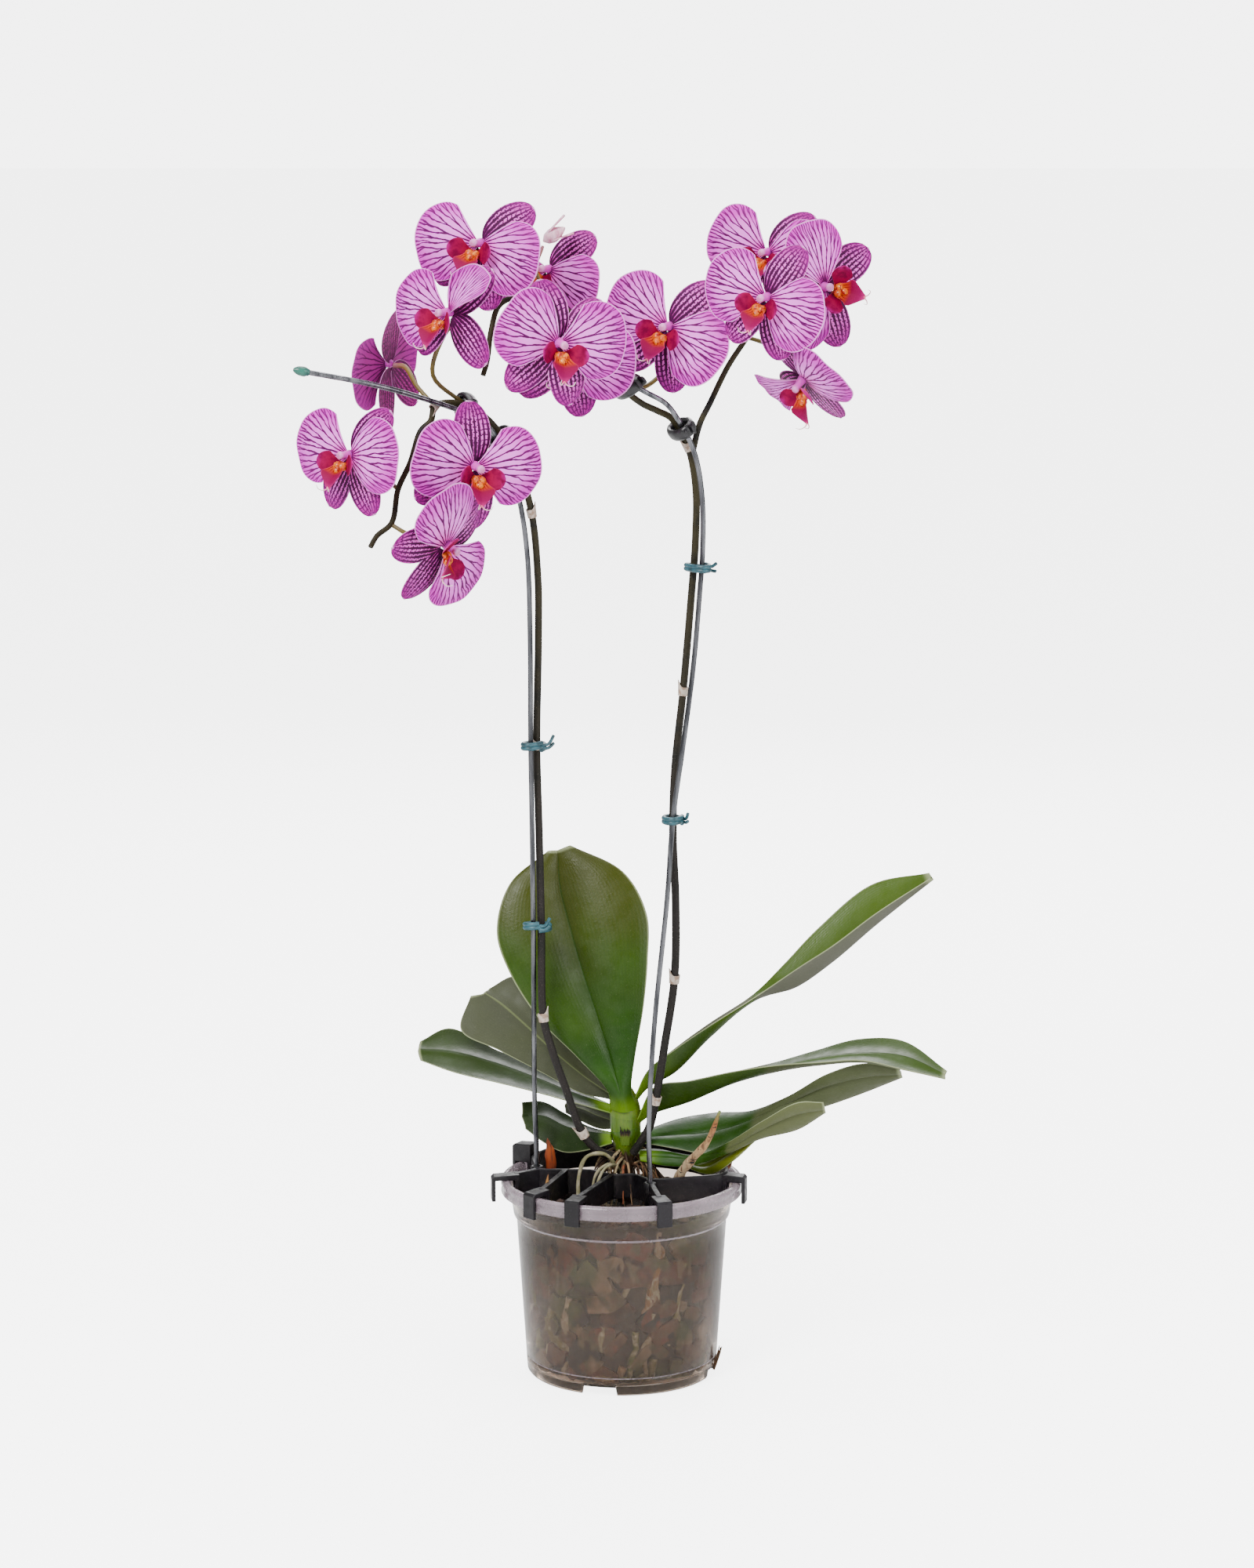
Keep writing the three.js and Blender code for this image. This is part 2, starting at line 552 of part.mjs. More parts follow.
/**
 * Each leaf is spanned between three lines from its foot to its tip: its midrib and the edges to
 * the left and right of it, with as many points in each.
 */
const LEAVES = {
  leaf_front_upright: {
    rib: [
      [1, -4.4, 138], [-0.5, -6.2, 147.5], [-5.5, -1, 165.5], [-12.5, 5, 186.5], [-20.5, 11, 210],
      [-27, 18, 232], [-32, 24, 251.5], [-33, 28, 269.5],
    ],
    left: [
      [-6, 1.5, 139], [-7, -2.5, 148.5], [-22.5, -1.5, 166], [-41.5, 2.5, 184.5], [-58, 7, 209.5],
      [-64.5, 13, 229.5], [-58, 20, 253], [-38.5, 27, 269],
    ],
    right: [
      [8.4, 0.5, 139], [5, -2.5, 148.5], [7, -1, 167.5], [11, 3, 189.5], [13.5, 9, 215],
      [13, 15, 238.5], [1, 22, 259], [-26.5, 28, 272],
    ],
  },
  leaf_right_upper: {
    rib: [
      [6, 4, 141], [14, 4, 149.5], [28, 5, 157.5], [45.5, 8, 175], [67.5, 10, 194], [90, 10, 201],
      [108, 9, 214], [132, 8, 235.5], [160, 8, 258.5],
    ],
    left: [
      [6, 1, 142], [13.5, 2, 158.5], [26.5, 2, 169], [45.5, 3, 182], [69.5, 5, 197],
      [92.5, 3, 213.5], [108.5, 1, 224.5], [131, 2, 241.5], [158.5, 7, 258.5],
    ],
    right: [
      [6, 7, 142], [14.5, 10, 157], [27, 14, 167], [45.5, 17, 180], [68.5, 17, 195.5],
      [83.5, 20, 210], [102.5, 22, 230], [129.5, 22, 252.5], [158.5, 12, 260.5],
    ],
  },
  leaf_right_middle: {
    rib: [
      [8, 3, 130], [16, 1, 136], [35, -1, 143], [57.5, -5, 154], [79.5, -10, 162],
      [101, -14, 168], [125, -18, 171.5], [145, -22, 170.5], [165, -24, 162],
    ],
    left: [
      [8, -1, 133], [17, -5, 151.5], [35, -8, 155.5], [57, -13, 161.5], [79, -20, 166.5],
      [100.5, -28, 170], [122, -34, 172.5], [144, -36, 168], [165, -28, 161.5],
    ],
    right: [
      [8, 7, 133], [18.5, 8, 147.5], [37, 10, 150.5], [59, 10, 156], [80, 8, 161.5],
      [100, 4, 168.5], [122, 2, 175], [145, -4, 175.5], [166.5, -20, 163.5],
    ],
  },
  leaf_right_lower: {
    rib: [
      [7, 3, 121.5], [12.5, 3, 122], [29, 3, 123.5], [45.5, 2, 125.5], [63.5, -4, 132],
      [83.5, -12, 144], [103, -17, 154.5], [125, -18, 160.5], [143, -20, 162.5],
    ],
    left: [
      [7, 8, 122.5], [13.5, 10, 125], [30.5, 18, 129], [48.5, 18, 132], [67, 6, 136],
      [85.5, -13, 148.5], [105, -22, 162.5], [124.5, -24, 168.5], [142, -24, 165.5],
    ],
    right: [
      [7, -1, 120.5], [13.5, -2, 120.5], [28, -8, 119.5], [43, -11, 118], [61.5, -13, 125],
      [83.5, -12, 137], [105.5, -9, 142.5], [128, -8, 150.5], [144, -16, 159.5],
    ],
  },
  leaf_right_small: {
    rib: [
      [9.5, -1, 114], [23, -6, 114.5], [37, -11, 115.5], [53, -22, 123], [70.5, -34, 136.5],
      [88, -40, 146], [103, -42, 149.5],
    ],
    left: [
      [10, 1, 116.5], [24, -4, 117], [38.5, -10, 116.5], [55, -26, 128], [72.5, -40, 143],
      [89, -48, 154], [102, -46, 153.5],
    ],
    right: [
      [10, -3, 111.5], [23, -8, 110.5], [37, -13, 112], [55, -22, 121], [71, -30, 130.5],
      [90, -32, 136], [103.5, -38, 146.5],
    ],
  },
  leaf_right_ring: {
    rib: [
      [7, 6, 113], [18, 6, 113.2], [27.5, 4, 111.8], [35, 2, 107.8], [44, 0, 107.3],
      [55.5, -3, 114.5], [68.5, -4, 123.5],
    ],
    left: [
      [7, 9, 114], [18, 10, 114.4], [27.5, 9, 112.4], [34, 8, 108.5], [42, 7, 109], [54, 4, 117],
      [67.5, -1, 124],
    ],
    right: [
      [8, 3.4, 112.6], [18.5, 2, 112.6], [28, 0, 111.6], [37, -3, 106.8], [46.5, -6, 105.5],
      [58.5, -9, 114], [69, -7, 123.5],
    ],
  },
  leaf_left_upper: {
    rib: [
      [0, 7, 142], [-4.5, 11, 143.5], [-18.5, 12, 152.5], [-34, 13, 165.5], [-49.5, 18, 179],
      [-62.5, 24, 189], [-71.5, 29, 193.5],
    ],
    left: [
      [0, 8, 145], [-3, 10, 149], [-17.5, 12, 161.5], [-31.5, 16, 176], [-44.5, 22, 193.5],
      [-56, 28, 202.5], [-69, 33, 195],
    ],
    right: [
      [-2, 7, 139], [-6, 12, 140.5], [-21, 10, 144.5], [-40.5, 16, 153.5], [-64, 22, 164.5],
      [-84, 28, 174], [-79, 33, 191],
    ],
  },
  leaf_left_long: {
    rib: [
      [-5.5, 8, 137.5], [-23.5, 14, 142], [-44, 20, 149], [-64.5, 23, 156], [-87, 22, 162.5],
      [-106, 18, 165.5],
    ],
    left: [
      [-6, 13, 138], [-23.5, 24, 143.5], [-41.5, 32, 153], [-65, 38, 160.5], [-90, 38, 172.5],
      [-105, 24, 169],
    ],
    right: [
      [-5.5, 2, 136], [-23, 4.5, 140.5], [-44, 6, 146], [-64, 6, 151], [-86.5, 8, 156],
      [-104.5, 14, 161],
    ],
  },
  leaf_left_lower: {
    rib: [[-5.5, 0, 124], [-16.5, 6, 124], [-29, 14, 125.5], [-40.5, 22, 129], [-52, 28, 127.5]],
    left: [
      [-5.5, 5, 125], [-17.5, 14, 126], [-30, 24, 130.5], [-41.5, 32, 134.5], [-52.5, 33, 134],
    ],
    right: [
      [-5, -4, 121.5], [-16.5, -2, 117.5], [-30, 8, 113.5], [-40.5, 16, 116.5], [-50.5, 24, 122],
    ],
  },
  leaf_left_inner: {
    rib: [[0, 8, 128.5], [-3, 12, 129], [-11, 20, 129.5], [-20, 30, 130.5], [-29.5, 40, 130.5]],
    left: [[0, 9, 130.5], [-3, 13, 132], [-11, 24, 134.5], [-20, 36, 135], [-28.5, 44, 133]],
    right: [[-1, 8, 126], [-4, 12, 125], [-11.5, 18, 123.5], [-21, 26, 125.5], [-29.5, 38, 127]],
  },
};
const LEAF = { middle: 2, edge: 1, belly: 0.1, along: 8 };

function leaf({ rib, left, right }) {
  const [ribCurve, leftCurve, rightCurve] = [rib, left, right].map((line) => curveThrough(line));
  const halves = (s, t) => {
    const edge = t < 0 ? leftCurve : rightCurve;
    return ribCurve.getPoint(s).lerp(edge.getPoint(s), Math.abs(t));
  };
  const normalAt = (s, t) => {
    const [low, high] = [Math.max(s - 0.02, 0), Math.min(s + 0.02, 1)];
    const along = halves(high, t).sub(halves(low, t));
    const across = rightCurve.getPoint(s).sub(leftCurve.getPoint(s));
    return across.cross(along).normalize();
  };
  const middle = (s, t) => {
    const width = leftCurve.getPoint(s).distanceTo(rightCurve.getPoint(s)) / 2;
    const belly = LEAF.belly * width * 4 * Math.abs(t) * (1 - Math.abs(t));
    return halves(s, t).addScaledVector(normalAt(s, t), belly);
  };
  const half = (s, t) => {
    const thickness = THREE.MathUtils.lerp(LEAF.middle, LEAF.edge, Math.abs(t));
    return normalAt(s, t).multiplyScalar(thickness / 2);
  };
  return blade(middle, half, LEAF.along, 4);
}

// ---------------------------------------------------------------- blooms

/** A petal's mid-surface in the bloom's own frame: x to its tip, y across, z to the front. */
function petalPoint(s, t, [lifted, unfolded]) {
  const halfAngle = (PETAL.wide - (PETAL.wide - PETAL.narrow) * s) * unfolded;
  const angle = rad(halfAngle * t + lifted);
  const reach = PETAL.start + s * (PETAL.length - PETAL.start);
  const radius = reach * (1 - PETAL.corner * Math.abs(t) ** 3);
  const arch = 0.085 * Math.sin(0.9 * Math.PI * s) * (1 - 0.4 * t * t);
  const wave = 0.025 * s * s * Math.sin(4 * t + 1);
  const fold = (1 - unfolded) * PETAL.fold * s * t * t;
  const rise = PETAL.length * (arch + wave) + 0.4 + fold;
  return vec(radius * Math.cos(angle), radius * Math.sin(angle), rise);
}

const bladeHalf = () => vec(0, 0, BLADE / 2);

function petal(side, way = [PETAL.lift, 1]) {
  const middle = (s, t) => {
    const point = petalPoint(s, t, way);
    return point.setX(point.x * side);
  };
  return blade(middle, bladeHalf, 3, 4);
}

function sepal({ length, angle, bend, reflex }) {
  const middle = (s, t) => {
    const lens = 1.95 * (s + 0.02) ** 0.55 * Math.sqrt(1 - s);
    const across = t * Math.max(SEPAL.width * lens, 0.7) + bend * length * s * s;
    const lift = -2 - reflex * length * s * s + 0.05 * SEPAL.width * (1 - t * t);
    const point = vec(SEPAL.start + s * (length - SEPAL.start), across, lift);
    return point.applyAxisAngle(vec(0, 0, 1), rad(angle));
  };
  return blade(middle, bladeHalf, 3, 2);
}

function column() {
  const { radius, length, back } = COLUMN;
  const profile = [
    [0, -back],
    [radius, 1 - back],
    [radius * 0.9, length * 0.45],
    [radius * 1.1, length * 0.85],
    [0, length],
  ];
  return latheAboutZ(profile, 5);
}

/** Two petals in front of three sepals, joined by the column. */
function tepals({ left: leftPetal, right: rightPetal, sepals: [top, left, right] }) {
  const { dorsal, lateral } = SEPAL;
  return fuse([
    petal(1, rightPetal),
    petal(-1, leftPetal),
    sepal({ length: dorsal, angle: top, bend: 0, reflex: 0.2 }),
    sepal({ length: lateral, angle: left, bend: 0.1, reflex: 0.12 }),
    sepal({ length: lateral, angle: right, bend: -0.1, reflex: 0.12 }),
    column(),
  ]);
}

/** The lip's middle lobe: a keeled arrowhead that runs down and forward from the column's foot. */
function lipMiddleLobe() {
  const curve = curveThrough(LIP.line);
  const steps = LIP.widths.length - 1;
  const middle = (s, t) => {
    const width = LIP.widths[Math.round(s * steps)];
    const rise = Math.abs(t) * width;
    const point = curve.getPoint(s);
    return point.add(vec(t * width, 0.35 * rise, 0.2 * rise));
  };
  return blade(middle, () => vec(0, 0.35, 0.3), steps, 2);
}

/** One of the two rounded lobes that stand up beside the column, with its face turned inwards. */
function lipSideLobe(side) {
  const mirrored = ([x, y, z]) => vec(x * side, y, z);
  const steps = LOBE.widths.length - 1;
  const middle = (s, t) => {
    const width = LOBE.widths[Math.round(s * steps)];
    const point = mirrored(LOBE.start).addScaledVector(mirrored(LOBE.along), s);
    return point.addScaledVector(mirrored(LOBE.across), t * width);
  };
  const half = () => mirrored(LOBE.inward).multiplyScalar(LOBE.thickness / 2);
  return blade(middle, half, steps, 1);
}

function lip() {
  const callus = new THREE.SphereGeometry(LIP.callus, 5, 3).translate(0, -6, 7.2);
  return fuse([lipMiddleLobe(), lipSideLobe(1), lipSideLobe(-1), callus]);
}

const turnAbout = (x, y, z, angle) =>
  new THREE.Quaternion().setFromAxisAngle(vec(x, y, z), rad(angle));

/** Turns a piece from the bloom's own frame to the way that the bloom faces. */
function face(piece, { at, yaw, pitch, roll, size }) {
  piece.quaternion.copy(turnAbout(0, 0, 1, yaw));
  piece.quaternion.multiply(turnAbout(1, 0, 0, 90 - pitch)).multiply(turnAbout(0, 0, 1, roll));
  piece.position.set(...at);
  piece.scale.setScalar(size);
}

// ---------------------------------------------------------------- spikes

/** A pedicel from its foot on the stem to just behind its bloom, which it meets square on. */
function pedicel({ at, yaw, pitch, size, stalk }) {
  const forward = vec(0, 0, 1).applyQuaternion(turnAbout(1, 0, 0, 90 - pitch));
  forward.applyQuaternion(turnAbout(0, 0, 1, yaw));
  const back = (distance) => vec(...at).addScaledVector(forward, -distance).toArray();
  const end = COLUMN.back * size + GAP;
  const points = [...stalk, back(end + 6), back(end)];
  const radius = (along) => PEDICEL.foot + (PEDICEL.head - PEDICEL.foot) * along;
  return rod(points, radius, 4);
}

/** A stem with a swollen ring at each of its nodes, where a leaf scale sits. */
function stem(line, nodes) {
  const route = curveThrough(line);
  const points = [];
  const radii = [];
  line.forEach((point, k) => {
    const along = k / (line.length - 1);
    const radius = STEM.foot + (STEM.tip - STEM.foot) * along;
    const steps = nodes.includes(k) ? [[-2.6, 1], [-1.8, 1.45], [2.2, 1.25], [3, 1]] : [[0, 1]];
    for (const [step, swell] of steps) {
      points.push(vec(...point).addScaledVector(route.getTangent(along), step).toArray());
      radii.push(radius * swell);
    }
  });
  return rod(points, (along) => radii[Math.round(along * (radii.length - 1))], 5);
}

function spike({ line, nodes, blooms, branch, extra = [] }) {
  const parts = [stem(line, nodes), ...extra];
  BLOOMS.filter(({ name }) => blooms.includes(name)).forEach((bloom) => parts.push(pedicel(bloom)));
  if (branch) parts.push(rod(branch, (along) => STEM.branch * (1 - 0.3 * along)));
  return cut(fuse(parts), [crown(GAP)]);
}

// ---------------------------------------------------------------- bud

function bud() {
  const { at, lean } = BUD;
  const body = latheAboutZ([[0, -1], [2.6, 1], [3.6, 5], [2.2, 9], [0, 12]], 6);
  const scales = [-1, 1].map((side) => {
    const scale = sepal({ length: 15, angle: 0, bend: 0, reflex: 0 });
    return scale.scale(1, 0.4, 1).rotateY(-rad(90 - side * 14)).translate(side * 1.4 - 2, 0, 0);
  });
  return toGeometry(fuse([body, ...scales])).rotateY(rad(lean)).translate(...at);
}

// ---------------------------------------------------------------- wires, ties and clips

/** The moulded cap on the left wire's free end. */
function wireCap() {
  const [before, tip] = WIRES.left.slice(-2).map((point) => vec(...point));
  const along = tip.clone().sub(before).normalize();
  const at = (distance) => tip.clone().addScaledVector(along, distance).toArray();
  const radii = [1.9, 2.4, 2.2, 1.1];
  return rod([at(GAP), at(2), at(6), at(8)], (s) => radii[Math.round(s * 3)], 8);
}

/**
 * A loop of wire or plastic round a stem and its support, with whatever else is fixed to it. Its
 * band is how much taller it is along the stem than it is thick. The loop is built flat, with its
 * long way along x, and then turned square to the stem.
 */
function clasp({ side, point }, { thickness, sides, band }, fixed) {
  const stem = curveThrough(SPIKES[side].line);
  const along = point / (SPIKES[side].line.length - 1);
  const stemPoint = stem.getPoint(along);
  const support = curveThrough(WIRES[side]).getSpacedPoints(400);
  const distance = (candidate) => candidate.distanceTo(stemPoint);
  const nearer = (best, next) => (distance(next) < distance(best) ? next : best);
  const wirePoint = support.reduce(nearer);
  const axis = stem.getTangent(along);
  const across = wirePoint.clone().sub(stemPoint);
  across.addScaledVector(axis, -across.dot(axis));
  const long = across.length() / 2 + STEM.foot + thickness + 1.2;
  const short = STEM.foot + thickness + 1.4;
  const ring = new THREE.TorusGeometry(1, thickness / short, sides, 8);
  ring.scale(long, short, short * band);
  const whole = toGeometry(fuse([ring, ...fixed(long, short)]));
  const x = across.normalize();
  const turn = new THREE.Matrix4().makeBasis(x, axis.clone().cross(x), axis);
  const middle = stemPoint.add(wirePoint).multiplyScalar(0.5);
  return whole.applyMatrix4(turn).translate(...middle);
}

function tie(spec) {
  const [reach, rise] = spec.tail;
  return clasp(spec, TIE, (long, short) =>
    [-1, 1].map((end) =>
      rod(
        [[0, short, 0], [reach / 2, short + 2, end], [reach, short + 3, rise + end * 2]],
        () => TIE.thickness * 0.8,
        3,
      )));
}

function clip(spec) {
  return clasp(spec, CLIP, (long) => [new THREE.BoxGeometry(...CLIP.grip).translate(long + 1.6, 0, 0)]);
}

// ---------------------------------------------------------------- roots and the old stub

/** The medium's own solid, a clearance higher, for what stands on its surface. */
const groundUnder = (medium) => toGeometry(medium).translate(0, 0, GAP);

function aerialRoots(medium) {
  const { at, radius } = ROOT_KNOT;
  const knot = new THREE.SphereGeometry(radius, 6, 4).translate(...at);
  const roots = AERIAL_ROOTS.map((root) => rod([at, ...root.line], () => root.radius, 5));
  return cut(fuse([knot, ...roots]), [groundUnder(medium), crown(GAP)]);
}

function oldStub(medium) {
  const stub = rod(OLD_STUB, (along) => 2.7 - 1.7 * along * along);
  return cut(solid(stub), [groundUnder(medium)]);
}

// ---------------------------------------------------------------- the whole plant

const medium = pottingMedium();
place('pot', pot(), FINISH.pot);
place('potting_medium', medium, FINISH.medium);
place('support_ring', supportRing(), FINISH.ring);
place('crown', closed(crown()), FINISH.crown);
place('aerial_roots', aerialRoots(medium), FINISH.root);
place('old_stub', oldStub(medium), FINISH.husk);
for (const [name, spec] of Object.entries(LEAVES)) {
  place(name, cut(solid(leaf(spec)), [crown(GAP)]), FINISH.leaf);
}

const lipShape = toGeometry(lip());
for (const bloom of BLOOMS) {
  face(place(`${bloom.name}_tepals`, tepals(bloom), FINISH.petal), bloom);
  face(place(`${bloom.name}_lip`, lipShape, FINISH.lip), bloom);
}
place('bud', bud(), FINISH.bud);
place('spike_left', spike(SPIKES.left), FINISH.stem);
const budStalk = rod(BUD.stalk, () => 0.9, 5);
place('spike_right', spike({ ...SPIKES.right, extra: [budStalk] }), FINISH.stem);
place('wire_left', wire(WIRES.left, WIRE_RADIUS, 6), FINISH.wire);
place('wire_right', wire(WIRES.right, WIRE_RADIUS, 6), FINISH.wire);
place('wire_cap', wireCap(), FINISH.cap);
TIES.forEach((spec, k) => place(`tie_${k + 1}`, tie(spec), FINISH.tie));
CLIPS.forEach((spec, k) => place(`clip_${k + 1}`, clip(spec), FINISH.clip));

plant.children.forEach((piece) => piece.position.add(vec(...POT_FOOT)));

export default plant;
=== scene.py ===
"""Potted moth orchid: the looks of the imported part, put together from the pot up to the blooms.

Lengths are in millimetres from the middle of the pot's foot, until a mesh is made in metres.
"""

import math
import random

import bmesh
import bpy
import numpy as np
from mathutils import Matrix, Quaternion, Vector, noise


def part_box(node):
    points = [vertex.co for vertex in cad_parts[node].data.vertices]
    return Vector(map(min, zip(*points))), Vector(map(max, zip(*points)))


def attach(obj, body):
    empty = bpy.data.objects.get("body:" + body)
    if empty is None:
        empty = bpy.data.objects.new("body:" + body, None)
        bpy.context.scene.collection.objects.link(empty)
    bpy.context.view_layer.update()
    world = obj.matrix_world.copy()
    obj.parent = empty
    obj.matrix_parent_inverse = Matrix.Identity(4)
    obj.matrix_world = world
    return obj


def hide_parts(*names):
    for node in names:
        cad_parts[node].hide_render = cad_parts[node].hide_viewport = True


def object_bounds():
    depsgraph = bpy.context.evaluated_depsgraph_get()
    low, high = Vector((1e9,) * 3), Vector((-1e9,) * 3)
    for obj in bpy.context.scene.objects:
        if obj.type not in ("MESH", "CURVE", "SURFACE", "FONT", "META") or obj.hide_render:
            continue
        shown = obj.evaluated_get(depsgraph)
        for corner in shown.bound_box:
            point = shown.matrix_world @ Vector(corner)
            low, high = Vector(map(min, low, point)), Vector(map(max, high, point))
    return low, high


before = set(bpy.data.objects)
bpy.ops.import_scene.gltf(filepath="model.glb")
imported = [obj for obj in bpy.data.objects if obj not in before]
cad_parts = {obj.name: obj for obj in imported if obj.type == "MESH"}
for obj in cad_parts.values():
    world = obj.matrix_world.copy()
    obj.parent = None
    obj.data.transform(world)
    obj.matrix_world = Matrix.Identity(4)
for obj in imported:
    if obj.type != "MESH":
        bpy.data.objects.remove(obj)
cad_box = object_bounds()

# ------------------------------------------------------------------------------------- pot
# A clear nursery pot, formed from thin plastic sheet: a rolled rim, a step where pots stack, a
# straight taper and a raised floor on a foot ring with four drainage notches. Use has clouded it.

POT = {
    "height": 103, "rim": 62.5, "rim_depth": 7.5, "neck": 57.5, "step": 54.6, "step_height": 83,
    "base": 49, "wall": 1, "foot": 4.7,
}
FOOT_RING = 45.4
NOTCHES = {"angles": [-104, -14, 76, 166], "half": 10.4, "slope": 0.9}
DRAIN_HOLES = {"radius": 3.2, "circle": 30, "count": 6}

pot_low, pot_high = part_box("pot")
POT_FOOT = Vector(((pot_low.x + pot_high.x) / 2, (pot_low.y + pot_high.y) / 2, pot_low.z))


class Shape:
    """Corners and faces that grow into one mesh.

    Each corner has three marks for its material: across (0-1), along (0-1) and kind. Stuff is
    which of the piece's materials a face has.
    """

    def __init__(self):
        self.corners = []
        self.marks = []
        self.faces = []
        self.stuff = []

    def add(self, corners, faces, marks=None, stuff=0):
        first = len(self.corners)
        self.corners += [tuple(corner) for corner in corners]
        if marks is None:
            marks = [(0, 0, 0)] * len(corners)
        self.marks += [tuple(mark) for mark in marks]
        self.faces += [tuple(first + k for k in face) for face in faces]
        self.stuff += [stuff] * len(faces)
        return self

    def make(self, name, slot, materials, replaces=(), sharp=40):
        """The mesh as a piece of the plant that rides on the root body."""
        mesh = bpy.data.meshes.new(name)
        corners = np.array(self.corners) * 0.001 + np.array(POT_FOOT)
        mesh.from_pydata(corners.tolist(), [], self.faces)
        for finish in materials:
            mesh.materials.append(finish.material)
        mesh.polygons.foreach_set("material_index", self.stuff)
        marks = np.array(self.marks, np.float32)
        corner_of = np.empty(len(mesh.loops), np.int32)
        mesh.loops.foreach_get("vertex_index", corner_of)
        across_along = mesh.uv_layers.new(name="across_along")
        across_along.uv.foreach_set("vector", marks[corner_of, :2].ravel())
        kind = mesh.attributes.new("kind", "FLOAT", "POINT")
        kind.data.foreach_set("value", marks[:, 2].copy())
        outward = bmesh.new()
        outward.from_mesh(mesh)
        bmesh.ops.recalc_face_normals(outward, faces=outward.faces)
        outward.to_mesh(mesh)
        outward.free()
        mesh.shade_smooth()
        mesh.set_sharp_from_angle(angle=math.radians(sharp))
        piece = bpy.data.objects.new(name, mesh)
        bpy.context.scene.collection.objects.link(piece)
        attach(piece, "root")
        if replaces:
            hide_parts(*replaces)
        return piece


def grid_faces(rows, columns, start=0, wrap=False):
    """Quads between rows of corners, joined round where the rows are rings."""
    faces = []
    for row in range(rows - 1):
        for column in range(columns if wrap else columns - 1):
            a = start + row * columns + column
            b = start + row * columns + (column + 1) % columns
            faces.append((a, b, b + columns, a + columns))
    return faces


def tube_faces(rings, sides):
    """Quads between closed rings of corners, with a face over each end."""
    count = rings * sides
    ends = [tuple(range(sides)), tuple(range(count - sides, count))]
    return grid_faces(rings, sides, wrap=True) + ends


def pairs(count):
    """Each corner of a ring, and the next one round."""
    return [(k, (k + 1) % count) for k in range(count)]


def polar(reach, angle, height=0, centre=(0, 0)):
    """A point at a distance and an angle from an upright line."""
    return centre[0] + reach * math.cos(angle), centre[1] + reach * math.sin(angle), height


def lathe(profile, angles, at=(0, 0, 0)):
    """Corners, faces and marks of a profile of (radius, height) turned about a vertical line."""
    corners = []
    marks = []
    for step, (radius, height) in enumerate(profile):
        for turn, angle in enumerate(angles):
            corners.append(polar(max(radius, 0.01), angle, at[2] + height, at))
            marks.append((turn / len(angles), step / (len(profile) - 1), 0))
    return corners, tube_faces(len(profile), len(angles)), marks


def circle(count):
    """Angles that divide a turn evenly."""
    return [2 * math.pi * k / count for k in range(count)]


def colour(code):
    """A linear colour from the #RRGGBB that it looks like."""
    parts = [int(code[k:k + 2], 16) / 255 for k in (1, 3, 5)]
    return tuple(c / 12.92 if c < 0.04045 else ((c + 0.055) / 1.055) ** 2.4 for c in parts) + (1,)


class Value:
    """What a shader node puts out. Sums and products of values are further nodes."""

    def __init__(self, nodes, socket):
        self.nodes = nodes
        self.socket = socket

    def __add__(self, other):
        return self.nodes.calc("ADD", self, other)

    def __sub__(self, other):
        return self.nodes.calc("SUBTRACT", self, other)

    def __rsub__(self, other):
        return self.nodes.calc("SUBTRACT", other, self)

    def __mul__(self, other):
        return self.nodes.calc("MULTIPLY", self, other)

    def __truediv__(self, other):
        return self.nodes.calc("DIVIDE", self, other)

    def __gt__(self, other):
        return self.nodes.calc("GREATER_THAN", self, other)

    def __abs__(self):
        return self.nodes.calc("ABSOLUTE", self)

    def between(self, low, high, new_low=0, new_high=1):
        """The value carried from one range to another, smoothly and without leaving it."""
        ranges = dict(enumerate((self, low, high, new_low, new_high)))
        return self.nodes.node("MapRange", ranges, "Result", interpolation_type="SMOOTHSTEP")


